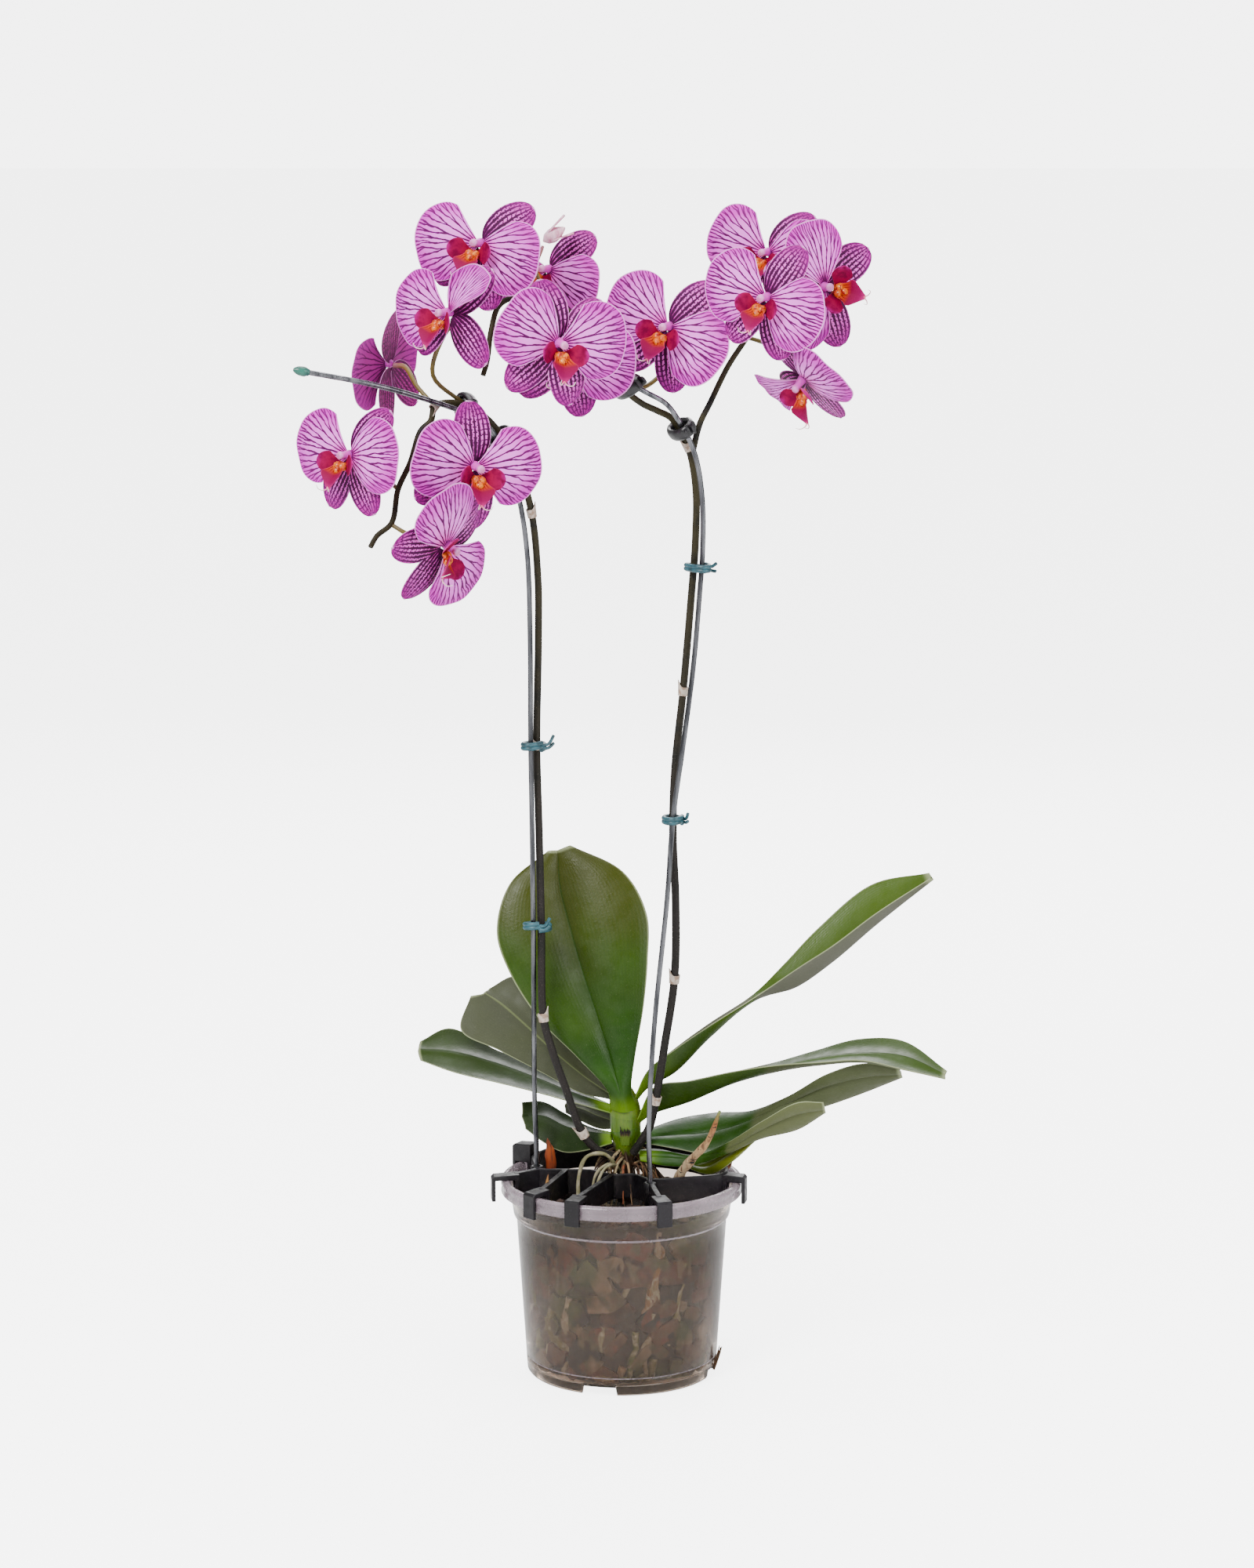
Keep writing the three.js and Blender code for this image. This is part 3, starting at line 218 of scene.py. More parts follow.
class Nodes:
    """The shader nodes of a material, a group or the world. Colours are given as #RRGGBB."""

    def __init__(self, tree):
        self.tree = tree

    def feed(self, socket, value):
        """Sets a socket to a number or a colour, or links a value to it."""
        if isinstance(value, Value):
            self.tree.links.new(value.socket, socket)
        else:
            socket.default_value = colour(value) if isinstance(value, str) else value

    def node(self, kind, inputs, output, **settings):
        """Adds a node with these settings and inputs, and gives one of its outputs."""
        node = self.tree.nodes.new("ShaderNode" + kind)
        for name, value in settings.items():
            setattr(node, name, value)
        for socket, value in inputs.items():
            self.feed(node.inputs[socket], value)
        return Value(self, node.outputs[output])

    def calc(self, operation, *values):
        return self.node("Math", dict(enumerate(values)), 0, operation=operation)

    def layers(self, tone, *coats):
        """A tone with others laid over it, each by its own share."""
        for share, other in coats:
            tone = self.node("Mix", {0: share, 6: tone, 7: other}, 2, data_type="RGBA")
        return tone

    def ramp(self, value, *stops):
        """Colours along a value, each stop a place from 0 to 1 and a colour."""
        node = self.tree.nodes.new("ShaderNodeValToRGB")
        points = node.color_ramp.elements
        while len(points) < len(stops):
            points.new(0.5)
        for point, (where, code) in zip(points, stops):
            point.position = where
            point.color = colour(code)
        self.feed(node.inputs["Fac"], value)
        return Value(self, node.outputs["Color"])

    def speckle(self, scale, detail, stretch=None):
        """Noise over the object, in features of about 1/scale of a millimetre, or stretched."""
        place = self.node("TexCoord", {}, "Object")
        if stretch:
            place = self.node("Mapping", {"Vector": place, "Scale": stretch}, "Vector")
        grain = {"Vector": place, "Scale": scale * 1000, "Detail": detail, "Roughness": 0.55}
        return self.node("TexNoise", grain, "Fac")

    def mark(self, name):
        """One of the marks on the corners: across, along or kind."""
        if name == "kind":
            return self.node("Attribute", {}, "Fac", attribute_name="kind")
        place = self.node("UVMap", {}, "UV", uv_map="across_along")
        return self.node("SeparateXYZ", {"Vector": place}, {"across": "X", "along": "Y"}[name])

    def height(self):
        """How high a point lies, in metres."""
        return self.node("SeparateXYZ", {"Vector": self.node("TexCoord", {}, "Object")}, "Z")


NUMBER, TINT, STRETCH = "NodeSocketFloat", "NodeSocketColor", "NodeSocketVector"


def group(name, inputs, outputs):
    """The nodes of a shader group, what it is given, and the sockets that it puts out."""
    nodes = Nodes(bpy.data.node_groups.new(name, "ShaderNodeTree"))
    for label, value in inputs.items():
        kind = {str: TINT, tuple: STRETCH}.get(type(value), NUMBER)
        socket = nodes.tree.interface.new_socket(label, in_out="INPUT", socket_type=kind)
        nodes.feed(socket, value)
    for label, kind in outputs.items():
        nodes.tree.interface.new_socket(label, in_out="OUTPUT", socket_type=kind)
    entry = nodes.tree.nodes.new("NodeGroupInput").outputs
    given = {label: Value(nodes, entry[label]) for label in inputs}
    return nodes, given, nodes.tree.nodes.new("NodeGroupOutput").inputs


def placed(finish, shared, **values):
    """What a group puts out in a material, with the material's own values."""
    node = finish.tree.nodes.new("ShaderNodeGroup")
    node.node_tree = shared.tree
    for label, value in values.items():
        finish.feed(node.inputs[label.replace("_", " ")], value)
    return {socket.name: Value(finish, socket) for socket in node.outputs}


def noise_group(name, inputs, outputs):
    """A shader group round noise over the object, whose scale is given per metre."""
    pattern = {"Scale": 100.0, "Detail": 3.0, "Stretch": (1.0, 1.0, 1.0)}
    nodes, given, put = group(name, {**pattern, **inputs}, outputs)
    place = nodes.node("TexCoord", {}, "Object")
    place = nodes.node("Mapping", {"Vector": place, "Scale": given["Stretch"]}, "Vector")
    grain = {"Vector": place, "Scale": given["Scale"], "Detail": given["Detail"], "Roughness": 0.55}
    return nodes, given, put, nodes.node("TexNoise", grain, "Fac")


shared_speckle, given, put, speckles = noise_group("speckle", {}, {"Height": NUMBER})
shared_speckle.feed(put["Height"], speckles)

shared_gloss, given, put, speckles = noise_group(
    "gloss", {"Low": 0.3, "High": 0.5}, {"Roughness": NUMBER})
shared_gloss.feed(put["Roughness"], speckles.between(0.3, 0.7, given["Low"], given["High"]))

shared_blotches, given, put, speckles = noise_group(
    "blotches", {"Ground": "#808080", "Blotch": "#404040", "Low": 0.4, "High": 0.6, "Share": 1.0},
    {"Colour": TINT})
covered = speckles.between(given["Low"], given["High"], 0, given["Share"])
shared_blotches.feed(put["Colour"], shared_blotches.layers(
    given["Ground"], (covered, given["Blotch"])))


class Finish(Nodes):
    """A material of one Principled shader. Each call that lays something on it returns it."""

    def __init__(self, name, **constants):
        self.material = bpy.data.materials.new(name)
        self.material.use_nodes = True
        super().__init__(self.material.node_tree)
        self.shader = self.tree.nodes["Principled BSDF"]
        self.set(**constants)

    def set(self, **values):
        """Sets or links the shader's own sockets."""
        for name, value in values.items():
            socket = name.replace("_", " ").title().replace("Ior", "IOR")
            self.feed(self.shader.inputs[socket], value)
        return self

    def coat(self, tone, share=None):
        """Lays a tone over the ones before it, by a share, or in place of them."""
        self.tone = tone if share is None else self.layers(self.tone, (share, tone))
        return self.set(base_color=self.tone)

    def tones(self, mark, *stops):
        """Tones along one of the marks, as the first coat."""
        return self.coat(self.ramp(self.mark(mark), *stops))

    def noisy(self, shared, scale, detail, stretch, **values):
        """What a shared group of noise puts out here, in features of about 1/scale of a mm."""
        own = placed(self, shared, Scale=scale * 1000, Detail=detail, Stretch=stretch, **values)
        return list(own.values())[0]

    def speckle(self, scale, detail, stretch=(1, 1, 1)):
        return self.noisy(shared_speckle, scale, detail, stretch)

    def blotches(self, tone, scale, detail, low, high, share=1, stretch=(1, 1, 1)):
        """Lays a tone over the ones before it where noise is above low, in full from high on."""
        return self.coat(self.noisy(shared_blotches, scale, detail, stretch, Ground=self.tone,
                                    Blotch=tone, Low=low, High=high, Share=share))

    def gloss(self, scale, detail, low, high, stretch=(1, 1, 1)):
        """Roughness that wanders between two values."""
        return self.set(roughness=self.noisy(
            shared_gloss, scale, detail, stretch, Low=low, High=high))

    def relief(self, height, depth, strength):
        """Bumps of a depth in millimetres."""
        bump = {"Strength": strength, "Distance": depth * 0.001, "Height": height}
        return self.set(normal=self.node("Bump", bump, "Normal"))

    def grain(self, scale, detail, depth, strength, stretch=(1, 1, 1)):
        """Bumps of noise, of a depth in millimetres."""
        return self.relief(self.speckle(scale, detail, stretch), depth, strength)


def pot_radius(height):
    """How far out the straight part of the pot's wall reaches."""
    return POT["base"] + (POT["step"] - POT["base"]) * height / POT["step_height"]


def pot_shape():
    """The pot's wall and floor, turned from its profile, with the notches raised in its foot."""
    floor, wall, top = POT["foot"], POT["wall"], POT["height"]
    rim, neck, step, ledge = POT["rim"], POT["neck"], POT["step"], POT["step_height"]
    under_rim = top - POT["rim_depth"]
    foot = [(0, floor), (20, floor), (FOOT_RING - 0.2, floor), (FOOT_RING + 0.2, floor - 0.4),
            (46, 0.4), (46.4, 0), (47.5, 0), (48.2, 0.5)]
    groove = [(pot_radius(z) - dent, z + rise) for z, rise, dent in (
        (1.8, 0, 0), (6, 0, 0), (8.6, 0, 0), (8.8, 0.2, 0.4), (9.6, 0, 0.4), (10, 0, 0))]
    taper = [(pot_radius(z), z) for z in range(18, 82, 8)]
    shoulder = [(step - 0.1, ledge - 0.6), (step + 0.3, ledge), (step + 1.2, ledge + 0.8),
                (step + 1.5, ledge + 1.6), (neck, under_rim - 0.8), (neck + 0.6, under_rim - 0.3)]
    rolled = [(rim - 0.7, under_rim), (rim - 0.2, under_rim + 0.3), (rim, under_rim + 0.8),
              (rim - 0.5, under_rim + 3), (rim - 0.5, under_rim + 3.8), (rim, under_rim + 4.6),
              (rim, top - 1.5), (rim - 0.5, top - 0.5), (rim - 1.6, top), (rim - 3, top - 0.1),
              (neck + 0.9, top - 1.2), (neck + 0.2, top - 2.2)]
    inside = [(neck - wall, under_rim - 0.8), (step + 1.4 - wall, ledge + 1.8),
              (step - wall, ledge + 0.4), (pot_radius(floor + 1) - wall, floor + 1),
              (20, floor + 1), (0, floor + 1)]
    edges = [middle + side * (NOTCHES["half"] + lean) for middle in NOTCHES["angles"]
             for side in (-1, 1) for lean in (0, NOTCHES["slope"])]
    angles = sorted({k * 2.5 for k in range(144)} | {edge % 360 for edge in edges})
    corners, faces, marks = lathe(foot + groove + taper + shoulder + rolled + inside,
                                  [math.radians(angle) for angle in angles])

    def lifted(corner):
        """The foot ring is cut away over each notch."""
        x, y, z = corner
        angle = math.degrees(math.atan2(y, x))
        off = min(abs((angle - middle + 180) % 360 - 180) for middle in NOTCHES["angles"])
        share = min(max((NOTCHES["half"] + NOTCHES["slope"] - off) / NOTCHES["slope"], 0), 1)
        cut = floor - 0.1
        return (x, y, z + (cut - z) * share) if z < cut and math.hypot(x, y) > FOOT_RING else corner

    shape = Shape().add([lifted(corner) for corner in corners], faces, marks)
    for number, face in enumerate(faces):
        low, high = min(corners[k][2] for k in face), max(corners[k][2] for k in face)
        on_rim = low > under_rim - 1
        on_step = low > ledge - 0.7 and high < ledge + 1
        in_groove = low > 8.7 and high < 9.7
        shape.stuff[number] = int(on_rim or on_step or in_groove)
    return shape


def drilled(piece, drills):
    """Takes the drills' shapes out of a piece."""
    tool = drills.make(piece.name + "_drills", "pot", [])
    cut = piece.modifiers.new("holes", "BOOLEAN")
    cut.operation = "DIFFERENCE"
    cut.object = tool
    settled(piece)
    bpy.data.objects.remove(tool)


def settled(piece):
    """Applies a piece's modifiers to its mesh."""
    bpy.context.view_layer.update()
    finished = piece.evaluated_get(bpy.context.evaluated_depsgraph_get())
    piece.data = bpy.data.meshes.new_from_object(finished)
    piece.modifiers.clear()


clear_plastic = Finish(
    "clear_plastic", roughness=0.1, transmission_weight=0.98, ior=1.22, specular_ior_level=0.35)
clear_plastic.coat("#F4E6DA").blotches("#D9CABC", 0.018, 3, 0.35, 0.7)
rubbing = clear_plastic.speckle(0.5, 6, stretch=(1, 1, 0.12))
clear_plastic.set(roughness=rubbing.between(0.3, 0.75, 0.04, 0.2))
clear_plastic.grain(0.03, 1, 0.3, 0.2, stretch=(1, 1, 0.4))

frosted_rim = Finish(
    "frosted_rim", roughness=0.25, transmission_weight=0.62, ior=1.3, coat_weight=0.4)
frosted_rim.coat("#B8A9B2").blotches("#A2939C", 0.06, 3, 0.35, 0.7)
frosted_rim.gloss(0.2, 4, 0.18, 0.4).grain(0.3, 3, 0.1, 0.4)

pot = pot_shape().make("pot_wall", "pot", [clear_plastic, frosted_rim], ["pot"], sharp=50)
drills = Shape()
drill = [(DRAIN_HOLES["radius"], POT["foot"] - 2), (DRAIN_HOLES["radius"], POT["foot"] + 3)]
for angle in circle(DRAIN_HOLES["count"]):
    drills.add(*lathe(drill, circle(24), polar(DRAIN_HOLES["circle"], angle)))
drilled(pot, drills)

# ------------------------------------------------------------------------- potting medium
# Coarse bark with moss and old roots, packed in the pot up to the step under its rim. Chips and
# roots are pressed flat against the clear wall, and roots in the light have turned green.

MEDIUM_TOP = 90
WALL_CLEARANCE = 0.35


def inner_radius(height):
    """How far out the medium may reach inside the pot's wall."""
    return pot_radius(min(height, POT["step_height"])) - POT["wall"] - WALL_CLEARANCE


def pressed(corner):
    """A corner held inside the pot's wall and above its floor."""
    x, y, z = corner
    z = max(z, POT["foot"] + 1.4)
    reach = math.hypot(x, y)
    limit = inner_radius(z)
    if reach > limit:
        x, y = x * limit / reach, y * limit / reach
    return (x, y, z)


def packed_bed():
    """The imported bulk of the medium, with a lumpy wall and top."""
    profile = [(0, 6.2), (30, 6.2)]
    profile += [(inner_radius(z) - 1.2, z) for z in np.linspace(6.4, MEDIUM_TOP - 1, 44)]
    profile += [(r, MEDIUM_TOP) for r in np.linspace(51, 0, 26)]
    corners, faces, marks = lathe(profile, circle(150))
    lumps = []
    for x, y, z in corners:
        where = Vector((x, y, z))
        lump = noise.fractal(where * 0.09, 0.8, 2.1, 4)
        if z > MEDIUM_TOP - 0.5:
            lumps.append((x, y, z - 1.4 + 2.2 * lump + 1.2 * noise.noise(where * 0.5)))
        else:
            reach = math.hypot(x, y)
            inward = 1 - max(0, 0.9 - 2.4 * lump) / max(reach, 5)
            lumps.append(pressed((x * inward, y * inward, z)))
    return Shape().add(lumps, faces, marks)


def chip(size, at, turn, seed):
    """A chip of bark: a block with worn corners and rough faces."""
    corners = []
    rings, sides = 7, 10
    for ring in range(rings):
        slope = math.pi * ring / (rings - 1) - math.pi / 2
        for angle in circle(sides):
            outline = Vector((math.cos(slope) * math.cos(angle), math.cos(slope) * math.sin(angle),
                              math.sin(slope)))
            block = Vector([math.copysign(abs(c) ** 0.45, c) for c in outline])
            block *= 1 + 0.16 * noise.noise(outline * 1.7 + Vector((seed * 3.1, 0, 0)))
            corner = turn @ Vector([block[k] * size[k] / 2 for k in range(3)]) + Vector(at)
            corners.append(corner)
    faces = grid_faces(rings, sides, wrap=True)
    return corners, faces


def on_curve(points, along, closed=False):
    """A point of the centripetal Catmull-Rom curve through points, along from 0 to 1."""
    points = np.asarray(points, float)
    spans = len(points) - (0 if closed else 1)
    step = int(along * spans) if closed else min(int(along * spans), spans - 1)
    share = along * spans - step
    if closed:
        before, first, second, after = (points[(step + k) % spans] for k in (-1, 0, 1, 2))
    else:
        first, second = points[step], points[step + 1]
        before = points[step - 1] if step else 2 * points[0] - points[1]
        after = points[step + 2] if step + 1 < spans else 2 * points[-1] - points[-2]
    gaps = [max(float(np.linalg.norm(b - a)) ** 0.5, 1e-4)
            for a, b in ((before, first), (first, second), (second, after))]
    start = ((first - before) / gaps[0] - (second - before) / (gaps[0] + gaps[1])
             + (second - first) / gaps[1]) * gaps[1]
    finish = ((second - first) / gaps[1] - (after - first) / (gaps[1] + gaps[2])
              + (after - second) / gaps[2]) * gaps[1]
    square, cube = share * share, share ** 3
    return (first + start * share + (3 * second - 3 * first - 2 * start - finish) * square
            + (2 * first - 2 * second + start + finish) * cube)


def rod(points, radius_at, sides=12, per_span=6):
    """Corners, faces and marks of a round stem along the curve through points."""
    rings = (len(points) - 1) * per_span + 1
    middles = [Vector(on_curve(points, k / (rings - 1))) for k in range(rings)]
    tangents = []
    for k in range(rings):
        tangents.append((middles[min(k + 1, rings - 1)] - middles[max(k - 1, 0)]).normalized())
    upright = Vector((0, 0, 1)) if abs(tangents[0].z) < 0.9 else Vector((0, 1, 0))
    side = tangents[0].cross(upright).normalized()
    corners = []
    marks = []
    for k, (middle, tangent) in enumerate(zip(middles, tangents)):
        side = (side - tangent * side.dot(tangent)).normalized()
        other = tangent.cross(side)
        along = k / (rings - 1)
        radius = radius_at(along)
        for turn, angle in enumerate(circle(sides)):
            out = side * math.cos(angle) + other * math.sin(angle)
            corners.append(middle + out * radius)
            marks.append((turn / sides, along, 0))
    return corners, tube_faces(rings, sides), marks


medium_dice = random.Random(7)


def toned(corners, kind):
    """Marks for corners that all have one kind."""
    return [(0, 0, kind)] * len(corners)


def chips_at_the_wall(shape, count):
    """Large chips pressed flat against the inside of the pot."""
    for seed in range(count):
        angle = medium_dice.uniform(0, 2 * math.pi)
        height = medium_dice.uniform(10, MEDIUM_TOP - 4)
        size = [medium_dice.uniform(9, 21), medium_dice.uniform(4, 7), medium_dice.uniform(6, 14)]
        reach = inner_radius(height) - size[1] * 0.42
        turn = Quaternion((0, 0, 1), angle + math.pi / 2)
        turn = turn @ Quaternion((0, 1, 0), medium_dice.uniform(-0.9, 0.9))
        corners, faces = chip(size, polar(reach, angle, height), turn, seed)
        shape.add([pressed(c) for c in corners], faces, toned(corners, medium_dice.random()))


def chips_on_top(shape, count):
    """Small chips lying loose on the medium."""
    for seed in range(count):
        angle = medium_dice.uniform(0, 2 * math.pi)
        reach = 50 * math.sqrt(medium_dice.uniform(0.05, 1))
        size = [medium_dice.uniform(4, 10), medium_dice.uniform(3, 5), medium_dice.uniform(2, 3.4)]
        turn = Quaternion((0, 0, 1), medium_dice.uniform(0, 6.3))
        turn = turn @ Quaternion((1, 0, 0), medium_dice.uniform(-0.5, 0.5))
        corners, faces = chip(size, polar(reach, angle, MEDIUM_TOP - 0.2), turn, seed + 500)
        shape.add([pressed(c) for c in corners], faces, toned(corners, medium_dice.random()))


def buried_roots(count):
    """Roots that wander down or up along the inside of the pot's wall."""
    shape = Shape()
    for _ in range(count):
        angle = medium_dice.uniform(0, 2 * math.pi)
        height = medium_dice.uniform(15, 70)
        lean = medium_dice.uniform(-0.018, 0.018)
        drop = medium_dice.choice([-1, 1])
        thick = medium_dice.uniform(1.6, 2.9)
        line = []
        for _ in range(6):
            reach = inner_radius(height) - thick * medium_dice.uniform(0.5, 1.5)
            line.append(polar(reach, angle, height))
            angle += lean * 9 + medium_dice.uniform(-0.07, 0.07)
            height = min(max(height + drop * medium_dice.uniform(5, 12), 9), MEDIUM_TOP - 5)
        corners, faces, marks = rod(line, lambda along: thick * (1 - 0.5 * along ** 3), sides=10)
        kind = medium_dice.random()
        shape.add([pressed(c) for c in corners], faces, [(u, v, kind) for u, v, _ in marks])
    return shape


def bark(name, stops, salty):
    """Bark and peat in tones by chip, with moss and salts over them."""
    finish = Finish(name, roughness=0.85)
    by_chip = finish.mark("kind") + (finish.speckle(0.12, 5) - 0.5) * 0.9
    finish.coat(finish.ramp(by_chip, *stops))
    finish.blotches("#273609", 0.03, 3, 0.5, 0.62, share=0.75)
    finish.blotches("#6B625B", 0.4, 6, 0.58, 0.75, share=salty)
    return finish.grain(0.5, 6, 0.6, 0.8)


BARK_TONES = [(0.0, "#110A05"), (0.22, "#331A09"), (0.42, "#403020"), (0.6, "#452318"),
              (0.78, "#34301F"), (1.0, "#574A3A")]
bark_chips = bark("bark_chips", BARK_TONES, 0.35)
peat = bark("peat", [(0.0, "#1E130A"), (0.5, "#2E2215"), (1.0, "#45220D")], 0.3)
root_skin = Finish("root_skin", roughness=0.7)
root_skin.tones("kind", (0.0, "#334109"), (0.3, "#515122"), (0.55, "#605B49"), (0.8, "#5E401D"),
                (1.0, "#263D07"))
root_skin.blotches("#746E5E", 0.3, 5, 0.45, 0.7).grain(0.9, 4, 0.3, 0.6)

packed_bed().make("packed_medium", "medium", [peat], ["potting_medium"])
loose_bark = Shape()
chips_at_the_wall(loose_bark, 240)
chips_on_top(loose_bark, 170)
loose_bark.make("bark_chips", "medium", [bark_chips], sharp=30)
buried_roots(26).make("buried_roots", "medium", [root_skin])

# --------------------------------------------------------------------------- support ring
# Dark aubergine plastic, moulded in one: a curved wall round the plant, eight arms that reach out
# to the pot's rim, and clips that hook over it. Two sockets in the wall hold the wires' feet.

RING = {"top": 108, "depth": 13, "wall": 1.8, "arm": 3, "clip_width": 8, "clip_depth": 11,
        "clip": 1.9}
RING_OUTLINE = [
    [-45, 8], [-43, -3], [-28, -5], [-16, -6], [-4, -15], [6, -14], [15, -24], [34, -20], [52, -13],
    [53.5, 6], [44, 30], [22, 46], [-8, 50], [-36, 40], [-46, 24],
]
# Each arm: where it leaves the wall, its angle, and how much further out and up its clip goes.
RING_ARMS = [
    ((51, -10), -11, 0.6, 1), ((14, -24), -70, 0, 0), ((-5, -14.5), -113, 0, 0),
    ((-29, -5), -137, 0, 0), ((-43, -3), 187, 3, 0), ((-44, 26), 149, 0, 7),
    ((-8, 50), 100, 0, 0), ((42.5, 31), 36, 0, 0),
]
WIRE_RADIUS = 1.3
WIRE_FEET = [(-44, 4.4), (14.6, -29)]


def ring_wall(steps=150):
    """The wall as a band with rounded edges, swept round its outline."""
    half = RING["wall"] / 2
    low, high = RING["top"] - RING["depth"], RING["top"]
    round_off = 0.4
    section = [(-half, low + round_off), (-half + round_off, low), (half - round_off, low),
               (half, low + round_off), (half, high - round_off), (half - round_off, high),
               (-half + round_off, high), (-half, high - round_off)]
    outline = [(x, y, 0) for x, y in RING_OUTLINE]
    corners = []
    for k in range(steps):
        middle = Vector(on_curve(outline, k / steps, closed=True))
        ahead = Vector(on_curve(outline, (k + 0.3) / steps, closed=True)) - middle
        out = Vector((ahead.y, -ahead.x, 0)).normalized()
        corners += [middle + out * offset + Vector((0, 0, height)) for offset, height in section]
    faces = grid_faces(steps, len(section), wrap=True)
    last = (steps - 1) * len(section)
    faces += [(last + a, last + b, b, a) for a, b in pairs(len(section))]
    return corners, faces


def plate(profile, width, turn, at=(0, 0, 0)):
    """A plate of this width standing on its edge, cut to a profile of (distance, height)."""
    corners = []
    for side in (-width / 2, width / 2):
        sideways = Vector((-math.sin(turn) * side, math.cos(turn) * side, 0))
        for distance, height in profile:
            corners.append(Vector(polar(distance, turn, height)) + sideways + Vector(at))
    count = len(profile)
    faces = [tuple(range(count)), tuple(range(count, 2 * count))]
    faces += [(a, b, count + b, count + a) for a, b in pairs(count)]
    return corners, faces


def ring_arm(start, angle, further, rise):
    """An arm from the wall to the rim, and the clip at its end."""
    angle = math.radians(angle)
    seat = POT["height"] + 0.3
    inner = POT["neck"] - POT["wall"] - 0.8
    outer = POT["rim"] + 0.4 + RING["clip"] + further
    low = RING["top"] - RING["depth"]
    reach_x = inner * math.cos(angle) - start[0]
    reach_y = inner * math.sin(angle) - start[1]
    reach = math.hypot(reach_x, reach_y)
    arm = [(-0.6, low), (reach, low + 1), (reach + 1.2, seat + 0.2), (reach, seat + 3),
           (-0.6, RING["top"])]
    lip, hem = outer - RING["clip"], seat - RING["clip_depth"]
    clip = [(inner - 2.2, low + 3), (inner, low + 3), (inner, seat), (lip, seat), (lip, hem),
            (outer, hem), (outer, seat + 1 + rise), (outer - 1.2, seat + 2.2 + rise),
            (inner - 2.2, seat + 3 + rise)]
    return [
        plate(arm, RING["arm"], math.atan2(reach_y, reach_x), (start[0], start[1], 0)),
        plate(clip, RING["clip_width"], angle),
    ]


ring_plastic = Finish("aubergine_plastic", roughness=0.38, coat_weight=0.08, coat_roughness=0.25,
                      specular_ior_level=0.3)
ring_plastic.coat("#080609").blotches("#120E14", 0.05, 4, 0.35, 0.7)
ring_plastic.blotches("#534E55", 0.9, 6, 0.56, 0.75, share=0.15)
ring_plastic.gloss(0.25, 5, 0.3, 0.55).grain(1.6, 3, 0.12, 0.5)

band = Shape().add(*ring_wall())
for arm in RING_ARMS:
    for part in ring_arm(*arm):
        band.add(*part)
SOCKET_SIDES = 28
socket_profile = [(WIRE_RADIUS + 0.4, 95.2), (WIRE_RADIUS + 1.8, 95.2), (WIRE_RADIUS + 2, 95.5),
                  (WIRE_RADIUS + 2, 106.9), (WIRE_RADIUS + 1.7, 107.3), (WIRE_RADIUS + 0.4, 107.3)]
for x, y in WIRE_FEET:
    corners, faces, marks = lathe(socket_profile, circle(SOCKET_SIDES), (x, y, 0))
    last = len(corners) - SOCKET_SIDES
    bore = [(a, b, last + b, last + a) for a, b in pairs(SOCKET_SIDES)]
    band.add(corners, faces[:-2] + bore, marks)
ring = band.make("support_ring_moulding", "ring", [ring_plastic], ["support_ring"])
edges = ring.modifiers.new("rounded_edges", "BEVEL")
edges.width = 0.0007
edges.segments = 3
edges.limit_method = "ANGLE"
edges.angle_limit = math.radians(50)
settled(ring)

# ---------------------------------------------------------------------------------- crown
# The short stem at the middle of the plant, wrapped in the sheaths of its leaves. Each sheath
# overlaps the next one up and ends in a slanting edge, left and right in turn.

CROWN = {"axis": (2, 4), "top": 149, "radius": 8.2}
CROWN_OUTLINE = [(84, 0.5), (106, 0.55), (116, 0.68), (125, 0.97), (136, 1), (142, 0.84),
                 (149, 0.5)]


def crown_radius(height):
    """The crown's outline, between the places where its width changes."""
    heights, shares = zip(*CROWN_OUTLINE)
    return CROWN["radius"] * float(np.interp(height, heights, shares))


# Each sheath: its height, and the side that its leaf is on, in degrees.
SHEATHS = [(92, 0), (101, 180), (109, 10), (118, 190), (126, -15), (134, 165), (142, 0)]


def sheath(height, facing, depth):
    """One sheath, as a sleeve round the stem whose edge slants up to its leaf."""
    rows, columns = 12, 40
    corners = []
    marks = []
    for row in range(rows):
        up = row / (rows - 1)
        for angle in circle(columns):
            slant = 0.5 + 0.5 * math.cos(angle - math.radians(facing))
            top = min(height + 2 + 6 * slant ** 1.5, CROWN["top"] - 0.2)
            z = height - 9 + up * (top - height + 9)
            reach = crown_radius(z) * depth - 0.25 + 0.25 * math.sin(math.pi * up) - 0.5 * up ** 6
            corners.append(polar(reach, angle, z, CROWN["axis"]))
            marks.append((slant, up, depth))
    return corners, tube_faces(rows, columns), marks


sheath_skin = Finish("sheath_skin", roughness=0.38, subsurface_weight=0.15,
                     subsurface_scale=0.002)
sheath_skin.tones("along", (0.0, "#516F02"), (0.7, "#3C5C02"), (0.93, "#2C4A02"), (1.0, "#6A732B"))
sheath_skin.blotches("#647704", 0.06, 3, 0.4, 0.7)
sheath_skin.blotches("#203F02", 0.7, 4, 0.45, 0.65, share=0.35, stretch=(1, 1, 0.05))
withered = sheath_skin.speckle(0.3, 4) * 0.012 + sheath_skin.height()
sheath_skin.coat("#2A1809", withered.between(0.118, 0.126, 1, 0))
sheath_skin.grain(0.8, 3, 0.2, 0.5, stretch=(1, 1, 0.06))


